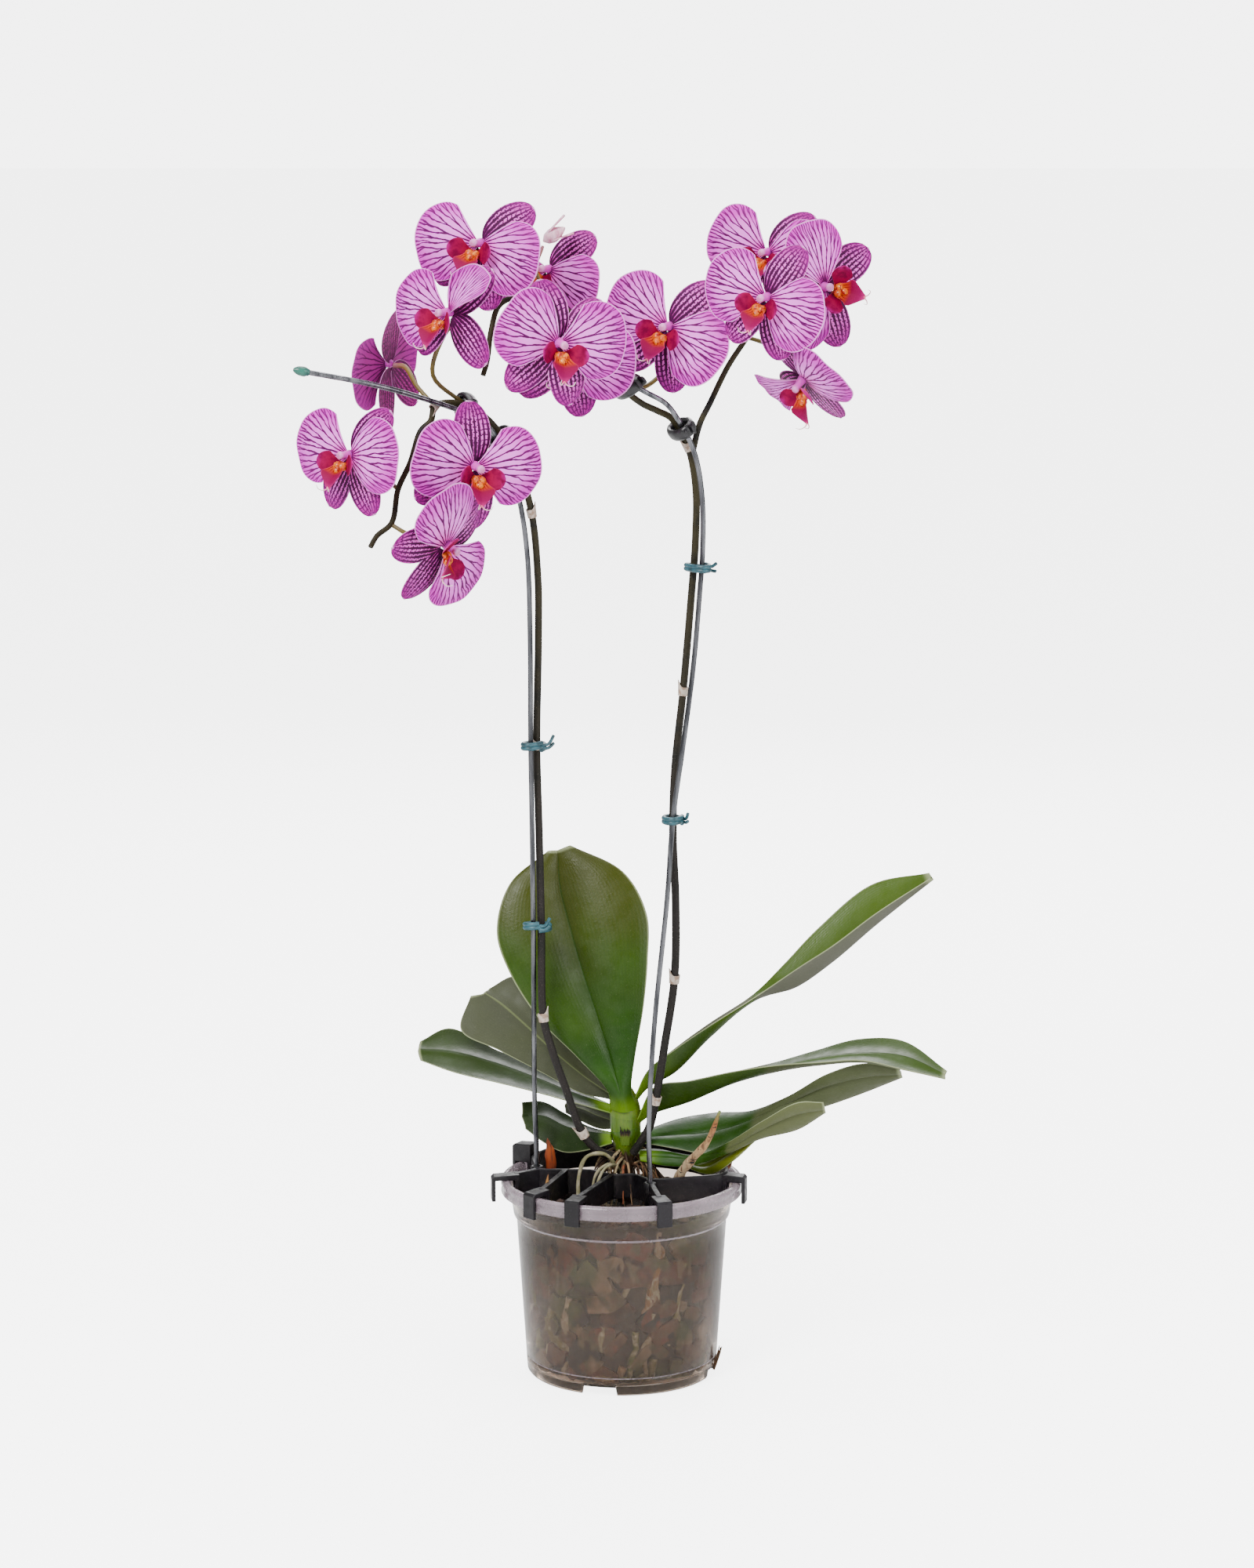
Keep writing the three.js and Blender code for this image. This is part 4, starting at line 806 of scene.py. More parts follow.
def blade(surface, thickness, flip=False):
    """A thin closed blade about a grid of points, root to tip by rows and across by columns.

    Its corners are marked with how far across and along they lie, and kind 0 on the upper face
    and 1 on the under face.
    """
    rows, columns = surface.shape[:2]
    normal = np.cross(np.gradient(surface, axis=1), np.gradient(surface, axis=0))
    normal /= np.maximum(np.linalg.norm(normal, axis=2, keepdims=True), 1e-9)
    step = normal * thickness[..., None] / 2 * (-1 if flip else 1)
    upper = (surface + step).reshape(-1, 3)
    under = (surface - step).reshape(-1, 3)
    layer = rows * columns
    faces = grid_faces(rows, columns) + [face[::-1] for face in grid_faces(rows, columns, layer)]
    rim = list(range(columns))
    rim += [row * columns + columns - 1 for row in range(1, rows)]
    rim += [layer - 1 - k for k in range(1, columns)]
    rim += [row * columns for row in range(rows - 2, 0, -1)]
    for k, following in pairs(len(rim)):
        a, b = rim[k], rim[following]
        faces.append((a, b, b + layer, a + layer))
    s, t = np.meshgrid(np.linspace(0, 1, rows), np.linspace(0, 1, columns), indexing="ij")
    marks = [np.stack([t.ravel(), s.ravel(), np.full(layer, kind)], 1) for kind in (0.0, 1.0)]
    return np.vstack([upper, under]), faces, np.vstack(marks)


torn_edge = Finish("torn_edge", roughness=0.7)
torn_edge.tones("along", (0.0, "#466303"), (0.7, "#4F660E"), (0.88, "#40320E"), (1.0, "#191007"))
torn_edge.grain(0.9, 4, 0.3, 0.7, stretch=(1, 1, 0.2))


def torn_sheath(foot, top, start, finish, seed):
    """A withered sheath round part of the stem, torn to a ragged edge at its top."""
    rows, columns = 10, 49
    surface = np.empty((rows, columns, 3))
    for column, angle in enumerate(np.radians(np.linspace(start, finish, columns))):
        tooth = noise.noise(Vector((column * 0.55, seed, 0)))
        tooth += 0.6 * noise.noise(Vector((column * 1.7, seed, 5)))
        for row in range(rows):
            up = row / (rows - 1)
            z = foot + (top + 4.5 * tooth - foot) * up
            reach = crown_radius(z) + 0.2 + 0.5 * up ** 4
            surface[row, column] = polar(reach, angle, z, CROWN["axis"])
    return blade(surface, np.full((rows, columns), 0.4))


crown = Shape()
for step, (height, facing) in enumerate(SHEATHS):
    crown.add(*sheath(height, facing, 1 - 0.012 * (step % 2)))
crown.add(*torn_sheath(foot=120, top=127.5, start=-108, finish=-74, seed=1), stuff=1)
crown.make("crown_sheaths", "crown", [sheath_skin, torn_edge], ["crown"])

# --------------------------------------------------------------------------------- leaves
# Thick strap leaves, folded along the midrib. The upper face is glossy green with fine veins and
# a sunk midrib, the under face grey-green with the midrib standing out, and the edge is pale.

# Each leaf's midrib and its two edges, from foot to tip.
LEAVES = {
    "leaf_front_upright": {
        "rib": [[1, -4.4, 138], [-0.5, -6.2, 147.5], [-5.5, -1, 165.5], [-12.5, 5, 186.5],
                [-20.5, 11, 210], [-27, 18, 232], [-32, 24, 251.5], [-33, 28, 269.5]],
        "left": [[-6, 1.5, 139], [-7, -2.5, 148.5], [-22.5, -1.5, 166], [-41.5, 2.5, 184.5],
                 [-58, 7, 209.5], [-64.5, 13, 229.5], [-58, 20, 253], [-38.5, 27, 269]],
        "right": [[8.4, 0.5, 139], [5, -2.5, 148.5], [7, -1, 167.5], [11, 3, 189.5],
                  [13.5, 9, 215], [13, 15, 238.5], [1, 22, 259], [-26.5, 28, 272]],
    },
    "leaf_right_upper": {
        "rib": [[6, 4, 141], [14, 4, 149.5], [28, 5, 157.5], [45.5, 8, 175], [67.5, 10, 194],
                [90, 10, 201], [108, 9, 214], [132, 8, 235.5], [160, 8, 258.5]],
        "left": [[6, 1, 142], [13.5, 2, 158.5], [26.5, 2, 169], [45.5, 3, 182], [69.5, 5, 197],
                 [92.5, 3, 213.5], [108.5, 1, 224.5], [131, 2, 241.5], [158.5, 7, 258.5]],
        "right": [[6, 7, 142], [14.5, 10, 157], [27, 14, 167], [45.5, 17, 180], [68.5, 17, 195.5],
                  [83.5, 20, 210], [102.5, 22, 230], [129.5, 22, 252.5], [158.5, 12, 260.5]],
    },
    "leaf_right_middle": {
        "rib": [[8, 3, 130], [16, 1, 136], [35, -1, 143], [57.5, -5, 154], [79.5, -10, 162],
                [101, -14, 168], [125, -18, 171.5], [145, -22, 170.5], [165, -24, 162]],
        "left": [[8, -1, 133], [17, -5, 151.5], [35, -8, 155.5], [57, -13, 161.5],
                 [79, -20, 166.5], [100.5, -28, 170], [122, -34, 172.5], [144, -36, 168],
                 [165, -28, 161.5]],
        "right": [[8, 7, 133], [18.5, 8, 147.5], [37, 10, 150.5], [59, 10, 156], [80, 8, 161.5],
                  [100, 4, 168.5], [122, 2, 175], [145, -4, 175.5], [166.5, -20, 163.5]],
    },
    "leaf_right_lower": {
        "rib": [[7, 3, 121.5], [12.5, 3, 122], [29, 3, 123.5], [45.5, 2, 125.5], [63.5, -4, 132],
                [83.5, -12, 144], [103, -17, 154.5], [125, -18, 160.5], [143, -20, 162.5]],
        "left": [[7, 8, 122.5], [13.5, 10, 125], [30.5, 18, 129], [48.5, 18, 132], [67, 6, 136],
                 [85.5, -13, 148.5], [105, -22, 162.5], [124.5, -24, 168.5], [142, -24, 165.5]],
        "right": [[7, -1, 120.5], [13.5, -2, 120.5], [28, -8, 119.5], [43, -11, 118],
                  [61.5, -13, 125], [83.5, -12, 137], [105.5, -9, 142.5], [128, -8, 150.5],
                  [144, -16, 159.5]],
    },
    "leaf_right_small": {
        "rib": [[9.5, -1, 114], [23, -6, 114.5], [37, -11, 115.5], [53, -22, 123],
                [70.5, -34, 136.5], [88, -40, 146], [103, -42, 149.5]],
        "left": [[10, 1, 116.5], [24, -4, 117], [38.5, -10, 116.5], [55, -26, 128],
                 [72.5, -40, 143], [89, -48, 154], [102, -46, 153.5]],
        "right": [[10, -3, 111.5], [23, -8, 110.5], [37, -13, 112], [55, -22, 121],
                  [71, -30, 130.5], [90, -32, 136], [103.5, -38, 146.5]],
    },
    "leaf_right_ring": {
        "rib": [[7, 6, 113], [18, 6, 113.2], [27.5, 4, 111.8], [35, 2, 107.8], [44, 0, 107.3],
                [55.5, -3, 114.5], [68.5, -4, 123.5]],
        "left": [[7, 9, 114], [18, 10, 114.4], [27.5, 9, 112.4], [34, 8, 108.5], [42, 7, 109],
                 [54, 4, 117], [67.5, -1, 124]],
        "right": [[8, 3.4, 112.6], [18.5, 2, 112.6], [28, 0, 111.6], [37, -3, 106.8],
                  [46.5, -6, 105.5], [58.5, -9, 114], [69, -7, 123.5]],
    },
    "leaf_left_upper": {
        "rib": [[0, 7, 142], [-4.5, 11, 143.5], [-18.5, 12, 152.5], [-34, 13, 165.5],
                [-49.5, 18, 179], [-62.5, 24, 189], [-71.5, 29, 193.5]],
        "left": [[0, 8, 145], [-3, 10, 149], [-17.5, 12, 161.5], [-31.5, 16, 176],
                 [-44.5, 22, 193.5], [-56, 28, 202.5], [-69, 33, 195]],
        "right": [[-2, 7, 139], [-6, 12, 140.5], [-21, 10, 144.5], [-40.5, 16, 153.5],
                  [-64, 22, 164.5], [-84, 28, 174], [-79, 33, 191]],
    },
    "leaf_left_long": {
        "rib": [[-5.5, 8, 137.5], [-23.5, 14, 142], [-44, 20, 149], [-64.5, 23, 156],
                [-87, 22, 162.5], [-106, 18, 165.5]],
        "left": [[-6, 13, 138], [-23.5, 24, 143.5], [-41.5, 32, 153], [-65, 38, 160.5],
                 [-90, 38, 172.5], [-105, 24, 169]],
        "right": [[-5.5, 2, 136], [-23, 4.5, 140.5], [-44, 6, 146], [-64, 6, 151], [-86.5, 8, 156],
                  [-104.5, 14, 161]],
    },
    "leaf_left_lower": {
        "rib": [[-5.5, 0, 124], [-16.5, 6, 124], [-29, 14, 125.5], [-40.5, 22, 129],
                [-52, 28, 127.5]],
        "left": [[-5.5, 5, 125], [-17.5, 14, 126], [-30, 24, 130.5], [-41.5, 32, 134.5],
                 [-52.5, 33, 134]],
        "right": [[-5, -4, 121.5], [-16.5, -2, 117.5], [-30, 8, 113.5], [-40.5, 16, 116.5],
                  [-50.5, 24, 122]],
    },
    "leaf_left_inner": {
        "rib": [[0, 8, 128.5], [-3, 12, 129], [-11, 20, 129.5], [-20, 30, 130.5],
                [-29.5, 40, 130.5]],
        "left": [[0, 9, 130.5], [-3, 13, 132], [-11, 24, 134.5], [-20, 36, 135], [-28.5, 44, 133]],
        "right": [[-1, 8, 126], [-4, 12, 125], [-11.5, 18, 123.5], [-21, 26, 125.5],
                  [-29.5, 38, 127]],
    },
}
# How far along some leaves twist over, so that their other face is the one in view. Those at -1
# lie on their back all along.
LEAF_TURNS = {"leaf_right_upper": 0.5, "leaf_right_middle": 0.47, "leaf_right_lower": 0.53,
              "leaf_right_small": 0.5, "leaf_left_long": -1, "leaf_left_lower": -1}
NEVER = 2
LEAF_MIDDLE = 2.0
LEAF_EDGE = 0.8


def leaf(lines, turns, rows=72, columns=25):
    """A leaf spanned between its midrib and its two edges, which twists over where it turns."""
    along = np.linspace(0, 1, rows)
    rib, left, right = (np.array([on_curve(lines[side], s) for s in along])
                        for side in ("rib", "left", "right"))
    t = np.linspace(-1, 1, columns)
    surface = np.empty((rows, columns, 3))
    for column, share in enumerate(t):
        edge = left if share < 0 else right
        surface[:, column] = rib + (edge - rib) * abs(share)
    tangent = np.gradient(surface, axis=0)
    normal = np.cross((right - left)[:, None, :], tangent)
    normal /= np.maximum(np.linalg.norm(normal, axis=2, keepdims=True), 1e-9)
    width = np.linalg.norm(right - left, axis=1) / 2
    belly = 0.1 * width[:, None] * 4 * np.abs(t) * (1 - np.abs(t))
    groove = -0.5 * np.exp(-(t / 0.09) ** 2) * np.minimum(1, 6 * (1 - along))[:, None]
    surface += normal * (belly + groove)[..., None]
    thickness = LEAF_MIDDLE + (LEAF_EDGE - LEAF_MIDDLE) * np.abs(t) ** 1.5
    thickness = np.where(np.abs(t) > 0.99, 0.45, thickness) * np.ones((rows, 1))
    corners, faces, marks = blade(surface, thickness)
    turned = 1 / (1 + np.exp(-60 * (marks[:, 1] - turns)))
    marks[:, 2] += turned * (1 - 2 * marks[:, 2])
    return corners, faces, marks


leaf_face, given, put = group(
    "leaf_face",
    {"Main": "#416A0E", "Shade": "#254009", "Flush": "#5D6A17", "Under": "#6B6F5A", "Flushed": 0.5},
    {"Colour": TINT, "Roughness": NUMBER, "Height": NUMBER})
across, along = leaf_face.mark("across"), leaf_face.mark("along")
off_rib = abs(across * 2 - 1)
under = leaf_face.mark("kind").between(0.3, 0.7)
clouds = leaf_face.speckle(0.02, 4).between(0.35, 0.68)
flushed = (along + (leaf_face.speckle(0.012, 3) - 0.5) * 0.9).between(0.15, 0.95)
veins = (leaf_face.calc("SINE", across * 230) * 0.5 + 0.5) * leaf_face.speckle(0.2, 3)
rib_line = off_rib.between(0, 0.035, 1, 0)
edge = leaf_face.calc("MAXIMUM", off_rib.between(0.965, 0.995), along.between(0.982, 0.998))
above = leaf_face.layers(
    given["Main"], (clouds, given["Shade"]), (flushed * given["Flushed"], given["Flush"]),
    (veins * 0.25, given["Shade"]), (rib_line * 0.55, given["Shade"]))
beneath = leaf_face.layers(given["Under"], (clouds * 0.4, "#404822"), (rib_line * 0.7, "#6C764C"))
sheathed = along.between(0.02, 0.16, 1, 0)
scuffs = leaf_face.speckle(1.1, 5).between(0.62, 0.72)
tone = leaf_face.layers(above, (under, beneath), (edge * 0.7, "#939B75"),
                        (sheathed * 0.75, "#5F8103"), (scuffs * 0.08, "#939375"))
gloss = leaf_face.speckle(0.15, 5).between(0.3, 0.7, 0.28, 0.46)
leaf_face.feed(put["Colour"], tone)
leaf_face.feed(put["Roughness"], under * 0.2 + gloss)
leaf_face.feed(put["Height"], veins * 0.5 + leaf_face.speckle(0.8, 3))


def leaf_skin(name, main, shade, flush, flushed, under="#6B6F5A"):
    """One leaf's greens over the face that all of them share. A leaf that lies in shade gets darker
    greens as painted shade, and a lit one gets lighter greens as painted light.
    """
    skin = Finish(name, specular_ior_level=0.22)
    own = placed(skin, leaf_face, Main=main, Shade=shade, Flush=flush, Under=under, Flushed=flushed)
    skin.coat(own["Colour"]).set(roughness=own["Roughness"])
    return skin.relief(own["Height"], 0.25, 0.35)


# The greens differ from leaf to leaf mostly by how much light each leaf gets, and that part is
# painted shade and painted light. The leaves in shade on the left (leaf_left_long, leaf_left_lower,
# leaf_left_inner) get darker greens, and the lit leaf_right_small gets lighter ones. The yellowing
# leaf's flush is its own colour.
LEAF_SKINS = {
    "leaf_front_upright": leaf_skin("leaf_bright", "#274A03", "#173703", "#383A08", 0.9),
    "leaf_right_upper": leaf_skin("leaf_pale", "#374D0D", "#253C08", "#455B15", 0.6, "#57584C"),
    "leaf_right_middle": leaf_skin("leaf_green", "#2A4205", "#1B2F03", "#374B14", 0.7, "#3F4626"),
    "leaf_right_lower": leaf_skin("leaf_deep", "#224504", "#153204", "#324910", 0.5, "#40472A"),
    "leaf_right_small": leaf_skin("leaf_lit", "#284E06", "#193805", "#495B15", 0.5, "#525836"),
    "leaf_right_ring": leaf_skin("leaf_yellowing", "#3C5D08", "#244905", "#717112", 0.7),
    "leaf_left_upper": leaf_skin("leaf_grey", "#2C3E12", "#1C2B0E", "#3A422A", 0.5, "#434636"),
    "leaf_left_long": leaf_skin("leaf_dark", "#20350A", "#132205", "#303F15", 0.6, "#414432"),
    "leaf_left_lower": leaf_skin("leaf_shaded", "#1E330A", "#122005", "#273213", 0.5, "#3F4333"),
    "leaf_left_inner": leaf_skin("leaf_low", "#22380E", "#152605", "#2F3A1A", 0.5, "#3F4333"),
}
for name, lines in LEAVES.items():
    blades = Shape().add(*leaf(lines, LEAF_TURNS.get(name, NEVER)))
    blades.make(name + "_blade", "leaf", [LEAF_SKINS[name]], [name], sharp=55)

# ---------------------------------------------------------------------------------- roots
# Silvery aerial roots that arch from the crown's foot into the bark, with thinner dead ones, and
# the brown fibres of old sheaths at the crown's foot.

ROOT_KNOT = [0, -2.6, 105]
# Each root: its way from the knot into the bark, and its radius.
AERIAL_ROOTS = [
    ([[-9, -9, 117], [-18, -11, 116], [-22, -12, 106], [-22, -13, 89.5]], 1.0),
    ([[-7, -11, 112], [-13, -15, 108], [-16, -16, 89.5]], 0.8),
    ([[-4, -11, 112], [-9, -17, 111], [-13, -21, 102], [-13, -22, 89.5]], 0.7),
    ([[6, -9, 104], [11, -12, 99], [12, -13, 89.5]], 0.7),
]

silver_root = Finish("silver_root", roughness=0.75)
silver_root.coat("#6D6A45").blotches("#938B73", 0.2, 4, 0.35, 0.65)
silver_root.blotches("#4F4E25", 0.05, 3, 0.5, 0.65).grain(0.7, 5, 0.4, 0.8)

roots = Shape()
for line, radius in AERIAL_ROOTS:
    roots.add(*rod([ROOT_KNOT] + line, lambda along: radius * (1 + 0.12 * math.sin(23 * along)),
                   sides=14, per_span=10))
roots.make("aerial_roots_skin", "root", [silver_root], ["aerial_roots"])

fibre = Finish("root_fibre", roughness=0.8)
fibre.tones("kind", (0.0, "#231407"), (0.35, "#432710"), (0.6, "#6A4E2C"), (0.8, "#8B7D5C"),
            (1.0, "#78320C"))
fibre.blotches("#27170B", 0.6, 4, 0.5, 0.7).grain(1.0, 4, 0.2, 0.7)
fibre_dice = random.Random(11)


def strand(shape, points, radius, kind):
    """A tapering fibre of one kind."""
    corners, faces, marks = rod(
        points, lambda along: radius * (1.15 - 0.8 * along ** 2), sides=6, per_span=5)
    shape.add(corners, faces, [(u, v, kind) for u, v, _ in marks])


def crown_fibres(count):
    """Dead fibres and thin roots that spill from the crown's foot on to the bark."""
    shape = Shape()
    for _ in range(count):
        angle = fibre_dice.uniform(0, 2 * math.pi)
        reach = fibre_dice.uniform(9, 24)
        rise = fibre_dice.uniform(-4, 6)
        out = Vector(polar(1, angle))
        side = Vector((-out.y, out.x, 0)) * fibre_dice.uniform(-6, 6)
        start = Vector((*CROWN["axis"], fibre_dice.uniform(106, 118))) + out * 3.5
        end = Vector((*CROWN["axis"], fibre_dice.uniform(89, 93))) + out * reach + side
        middle = (start + end) / 2 + Vector((0, 0, 6 + rise)) + out * 1.5
        thick = fibre_dice.uniform(0.25, 0.7)
        strand(shape, [start, middle, end], thick, fibre_dice.random())
    return shape


def tuft(shape, root, outward, count, length, spread, kind):
    """A brush of short dry roots."""
    for _ in range(count):
        lean = Vector([fibre_dice.uniform(-spread, spread) for _ in range(3)])
        tip = Vector(root) + (Vector(outward) + lean) * length * fibre_dice.uniform(0.6, 1)
        bow = (Vector(root) + tip) / 2 + lean * 1.5
        strand(shape, [root, bow, tip], fibre_dice.uniform(0.3, 0.6), kind)


fibres = crown_fibres(70)
tuft(fibres, (55, 8, 104.5), (0.05, 0.1, 0.9), count=26, length=11, spread=0.4, kind=0.95)
tuft(fibres, (47.9, -11.4, 2.4), (0.22, -0.05, 0.9), count=9, length=15, spread=0.12, kind=0.4)
fibres.make("root_fibres", "root", [fibre])

# ------------------------------------------------------------------------ withered scales
# Dry scales left among the roots: an orange one that stands behind the left arm of the ring, and
# a golden curled one in the pocket before it.

DRY_GRAIN = {"scale": 0.8, "detail": 3, "depth": 0.3, "strength": 0.7, "stretch": (1, 1, 0.15)}
dry_scale = Finish("dry_scale", roughness=0.6, subsurface_weight=0.1, subsurface_scale=0.001)
dry_scale.tones("along", (0.0, "#401C06"), (0.4, "#863203"), (0.8, "#9A4509"), (1.0, "#6A2A06"))
dry_scale.blotches("#512004", 0.5, 4, 0.45, 0.65, stretch=(1, 1, 0.2)).grain(**DRY_GRAIN)
golden_scale = Finish("golden_scale", roughness=0.55)
golden_scale.tones("along", (0.0, "#7A6A2C"), (0.5, "#A08A48"), (0.85, "#8A5A1C"), (1.0, "#5A3208"))
golden_scale.grain(**DRY_GRAIN)


def sheet_grid(rows, columns):
    """How far along (0 to 1) and across (-1 to 1) each point of a sheet lies."""
    return np.meshgrid(np.linspace(0, 1, rows), np.linspace(-1, 1, columns), indexing="ij")


def scale_leaf(foot, tip, width, curl):
    """A dry scale from its foot to its pointed tip, rolled in at the sides."""
    s, t = sheet_grid(20, 11)
    foot, tip = np.array(foot, float), np.array(tip, float)
    middle = foot + (tip - foot) * s[..., None]
    middle[..., 0] += curl * np.sin(np.pi * s)
    jag = 1 + 0.16 * np.sin(17 * s + 2 * t) * s
    half_width = width / 2 * jag * np.interp(s, [0, 0.55, 0.78, 1], [0.8, 1, 0.62, 0.04])
    middle[..., 0] += t * half_width
    middle[..., 1] += 0.5 * half_width * t * t
    return blade(middle, np.full(s.shape, 0.45))


scales = Shape()
scales.add(*scale_leaf((-37, 9, 99), (-38.5, 8, 121), width=5.4, curl=0.8))
scales.add(*scale_leaf((-34, -31, 92), (-37.5, -25, 110.5), width=2.2, curl=-2.2), stuff=1)
scales.make("dry_scales", "husk", [dry_scale, golden_scale])

# ------------------------------------------------------------------------------- old stub
# What is left of an old flower stem: a dry, papery tan husk with dark nicks and a brown point.

OLD_STUB = [[28, -12, 88], [29.5, -15, 106], [36, -22, 117.5], [44, -29, 129], [50, -34, 146]]

husk = Finish("dry_husk", roughness=0.85)
husk.tones("along", (0.0, "#7C6E53"), (0.35, "#A79375"), (0.75, "#A27C51"), (0.9, "#864E25"),
           (1.0, "#6A7841"))
husk.blotches("#5D4029", 0.35, 6, 0.5, 0.68, stretch=(1, 1, 0.3))
husk.blotches("#19110E", 0.45, 2, 0.62, 0.66, stretch=(0.3, 1, 1.6))
husk.grain(0.9, 5, 0.7, 0.9, stretch=(1, 1, 0.2))


def stub_radius(along):
    """The husk tapers, with a dent every so often."""
    return (2.7 - 1.9 * along ** 2) * (1 + 0.1 * math.sin(31 * along))


stub = Shape().add(*rod(OLD_STUB, stub_radius, sides=14, per_span=12))
stub.make("old_stub_husk", "husk", [husk], ["old_stub"])

# ---------------------------------------------------------------------------------- blooms
# Each bloom has two broad petals in front of three sepals, a short column, and a lip of three
# lobes with an orange callus. Purple veins fan and fork over the petals and net the sepals.

# Each bloom: where its heart is, how it is turned in degrees, its size, where its top, left and
# right sepals point, and its stalk's way from the stem. Some have a petal that is lifted by other
# degrees than most, or that spreads less.
BLOOMS = [
    {"name": "bloom_01", "at": [-69, -45, 583], "yaw": -25, "pitch": 5, "roll": -8, "size": 0.97,
     "left": [-4, 1], "right": [-12, 0.95],
     "sepals": [44, 214, 291], "stalk": [[-60, -30, 553], [-59, -25, 567]]},
    {"name": "bloom_02", "at": [-83, -80, 551], "yaw": -42, "pitch": 3, "roll": -5, "size": 0.95,
     "right": [42, 0.42], "left": [2, 1],
     "sepals": [50, 213, 322], "stalk": [[-77, -42, 505], [-92, -53, 520], [-86, -60, 540]]},
    {"name": "bloom_03", "at": [-115, -34, 524], "yaw": -115, "pitch": 5, "roll": -20, "size": 0.92,
     "sepals": [90, 232, 308], "stalk": [[-91, -54, 505], [-100, -47, 514]]},
    {"name": "bloom_04", "at": [-132, -70, 482], "yaw": -38, "pitch": 3, "roll": -5, "size": 0.93,
     "sepals": [53, 235, 304], "stalk": [[-109, -62, 465], [-117, -60, 472]]},
    {"name": "bloom_05", "at": [-71, -78, 477], "yaw": 28, "pitch": -6, "roll": -8, "size": 0.98,
     "sepals": [99, 209, 289],
     "stalk": [[-54, -23, 479], [-50, -31, 474], [-57, -48, 473], [-72, -64, 477]]},
    {"name": "bloom_06", "at": [-84, -100, 441], "yaw": 50, "pitch": -20, "roll": -58, "size": 0.97,
     "sepals": [90, 232, 308], "stalk": [[-112, -66, 448], [-104, -71, 444]]},
    {"name": "bloom_07", "at": [-30, -88, 537], "yaw": 24, "pitch": -6, "roll": -8, "size": 0.97,
     "right": [12, 1], "left": [18, 1],
     "sepals": [113, 224, 302], "stalk": [[-36, -30, 555], [-45, -43, 561], [-45, -64, 555]]},
    {"name": "bloom_08", "at": [-37, 2, 569], "yaw": -28, "pitch": 5, "roll": -38, "size": 0.9,
     "left": [-40, 0.85], "sepals": [76, 232, 308],
     "stalk": [[-20, -35, 545], [-20, -20, 538], [-24, -2, 542], [-27, 12, 556]]},
    {"name": "bloom_09", "at": [-26, -50, 530], "yaw": -5, "pitch": 0, "roll": -20, "size": 0.95,
     "sepals": [80, 232, 308], "stalk": [[-5, -39, 523], [-13, -34, 520]]},
    {"name": "bloom_10", "at": [23, -32, 542], "yaw": -24, "pitch": 2, "roll": -18, "size": 0.97,
     "left": [12, 1], "right": [-12, 1],
     "sepals": [61, 229, 296],
     "stalk": [[2, -38, 512], [9, -33, 512], [17, -24, 516], [27, -17, 527]]},
    {"name": "bloom_11", "at": [73, 10, 577], "yaw": -26, "pitch": 2, "roll": -12, "size": 0.92,
     "sepals": [50, 232, 308], "stalk": [[85, 27, 562], [84, 31, 571]]},
    {"name": "bloom_12", "at": [70, -72, 558], "yaw": -28, "pitch": 0, "roll": -12, "size": 0.92,
     "left": [8, 1], "right": [-12, 1],
     "sepals": [68, 227, 300], "stalk": [[61, -14, 534], [66, -30, 542], [74, -50, 553]]},
    {"name": "bloom_13", "at": [100, -35, 562], "yaw": 20, "pitch": 0, "roll": 73, "size": 0.95,
     "left": [23, 0.8], "right": [38, 0.75],
     "sepals": [90, 211, 329], "stalk": [[66, 0, 540], [80, -10, 541], [90, -22, 551]]},
    {"name": "bloom_14", "at": [89, -57, 518], "yaw": -52, "pitch": -42, "roll": 8, "size": 0.95,
     "left": [-4, 0.6], "sepals": [96, 196, 266],
     "stalk": [[63, -9, 536], [78, -24, 532], [95, -44, 528]]},
]
PETAL = {"length": 36, "start": 2, "narrow": 53, "wide": 58, "corner": 0.36, "lift": 8}
SEPAL = {"width": 10.5, "start": 2, "dorsal": 32, "lateral": 33}
PETAL_THICKNESS = 0.55


def thin_edged(s, t):
    """Thickness of a petal, which thins out to its rim."""
    rim = np.maximum(np.abs(t), s) ** 10
    return PETAL_THICKNESS * (1 - 0.6 * rim)


def petal(side, dice, lift, spread):
    """A petal that points out to one side, lifted by some degrees; a folded one spreads less."""
    s, t = sheet_grid(34, 45)
    half_angle = (PETAL["wide"] - (PETAL["wide"] - PETAL["narrow"]) * s) * spread
    angle = np.radians(half_angle * t + lift)
    reach = PETAL["start"] + s * (PETAL["length"] - PETAL["start"])
    radius = reach * (1 - PETAL["corner"] * np.abs(t) ** 3)
    radius *= 1 + 0.012 * s ** 3 * np.sin(7 * t + dice.uniform(0, 6))
    arch = 0.085 * np.sin(0.9 * np.pi * s) * (1 - 0.4 * t * t)
    wave = 0.025 * s * s * np.sin(4 * t + 1) + 0.008 * s ** 4 * np.sin(13 * t + dice.uniform(0, 6))
    rise = PETAL["length"] * (arch + wave) + 0.4 + (1 - spread) * 18 * s * t * t
    surface = np.stack([side * radius * np.cos(angle), radius * np.sin(angle), rise], 2)
    return blade(surface, thin_edged(s, t), flip=side > 0)


def sepal(length, angle, bend, reflex):
    """A sepal that points out at an angle, bent to one side and reflexed toward its tip."""
    s, t = sheet_grid(30, 25)
    lens = 1.95 * (s + 0.02) ** 0.55 * np.sqrt(np.maximum(1 - s, 0))
    across = t * np.maximum(SEPAL["width"] * lens, 0.5) + bend * length * s * s
    arch = 0.05 * SEPAL["width"] * (1 - t * t) + 0.25 * s * np.sin(5 * t)
    lift = -2 - reflex * length * s * s + arch
    along = SEPAL["start"] + s * (length - SEPAL["start"])
    turn = math.radians(angle)
    x = along * math.cos(turn) - across * math.sin(turn)
    y = along * math.sin(turn) + across * math.cos(turn)
    return blade(np.stack([x, y, lift], 2), thin_edged(s, t), flip=True)


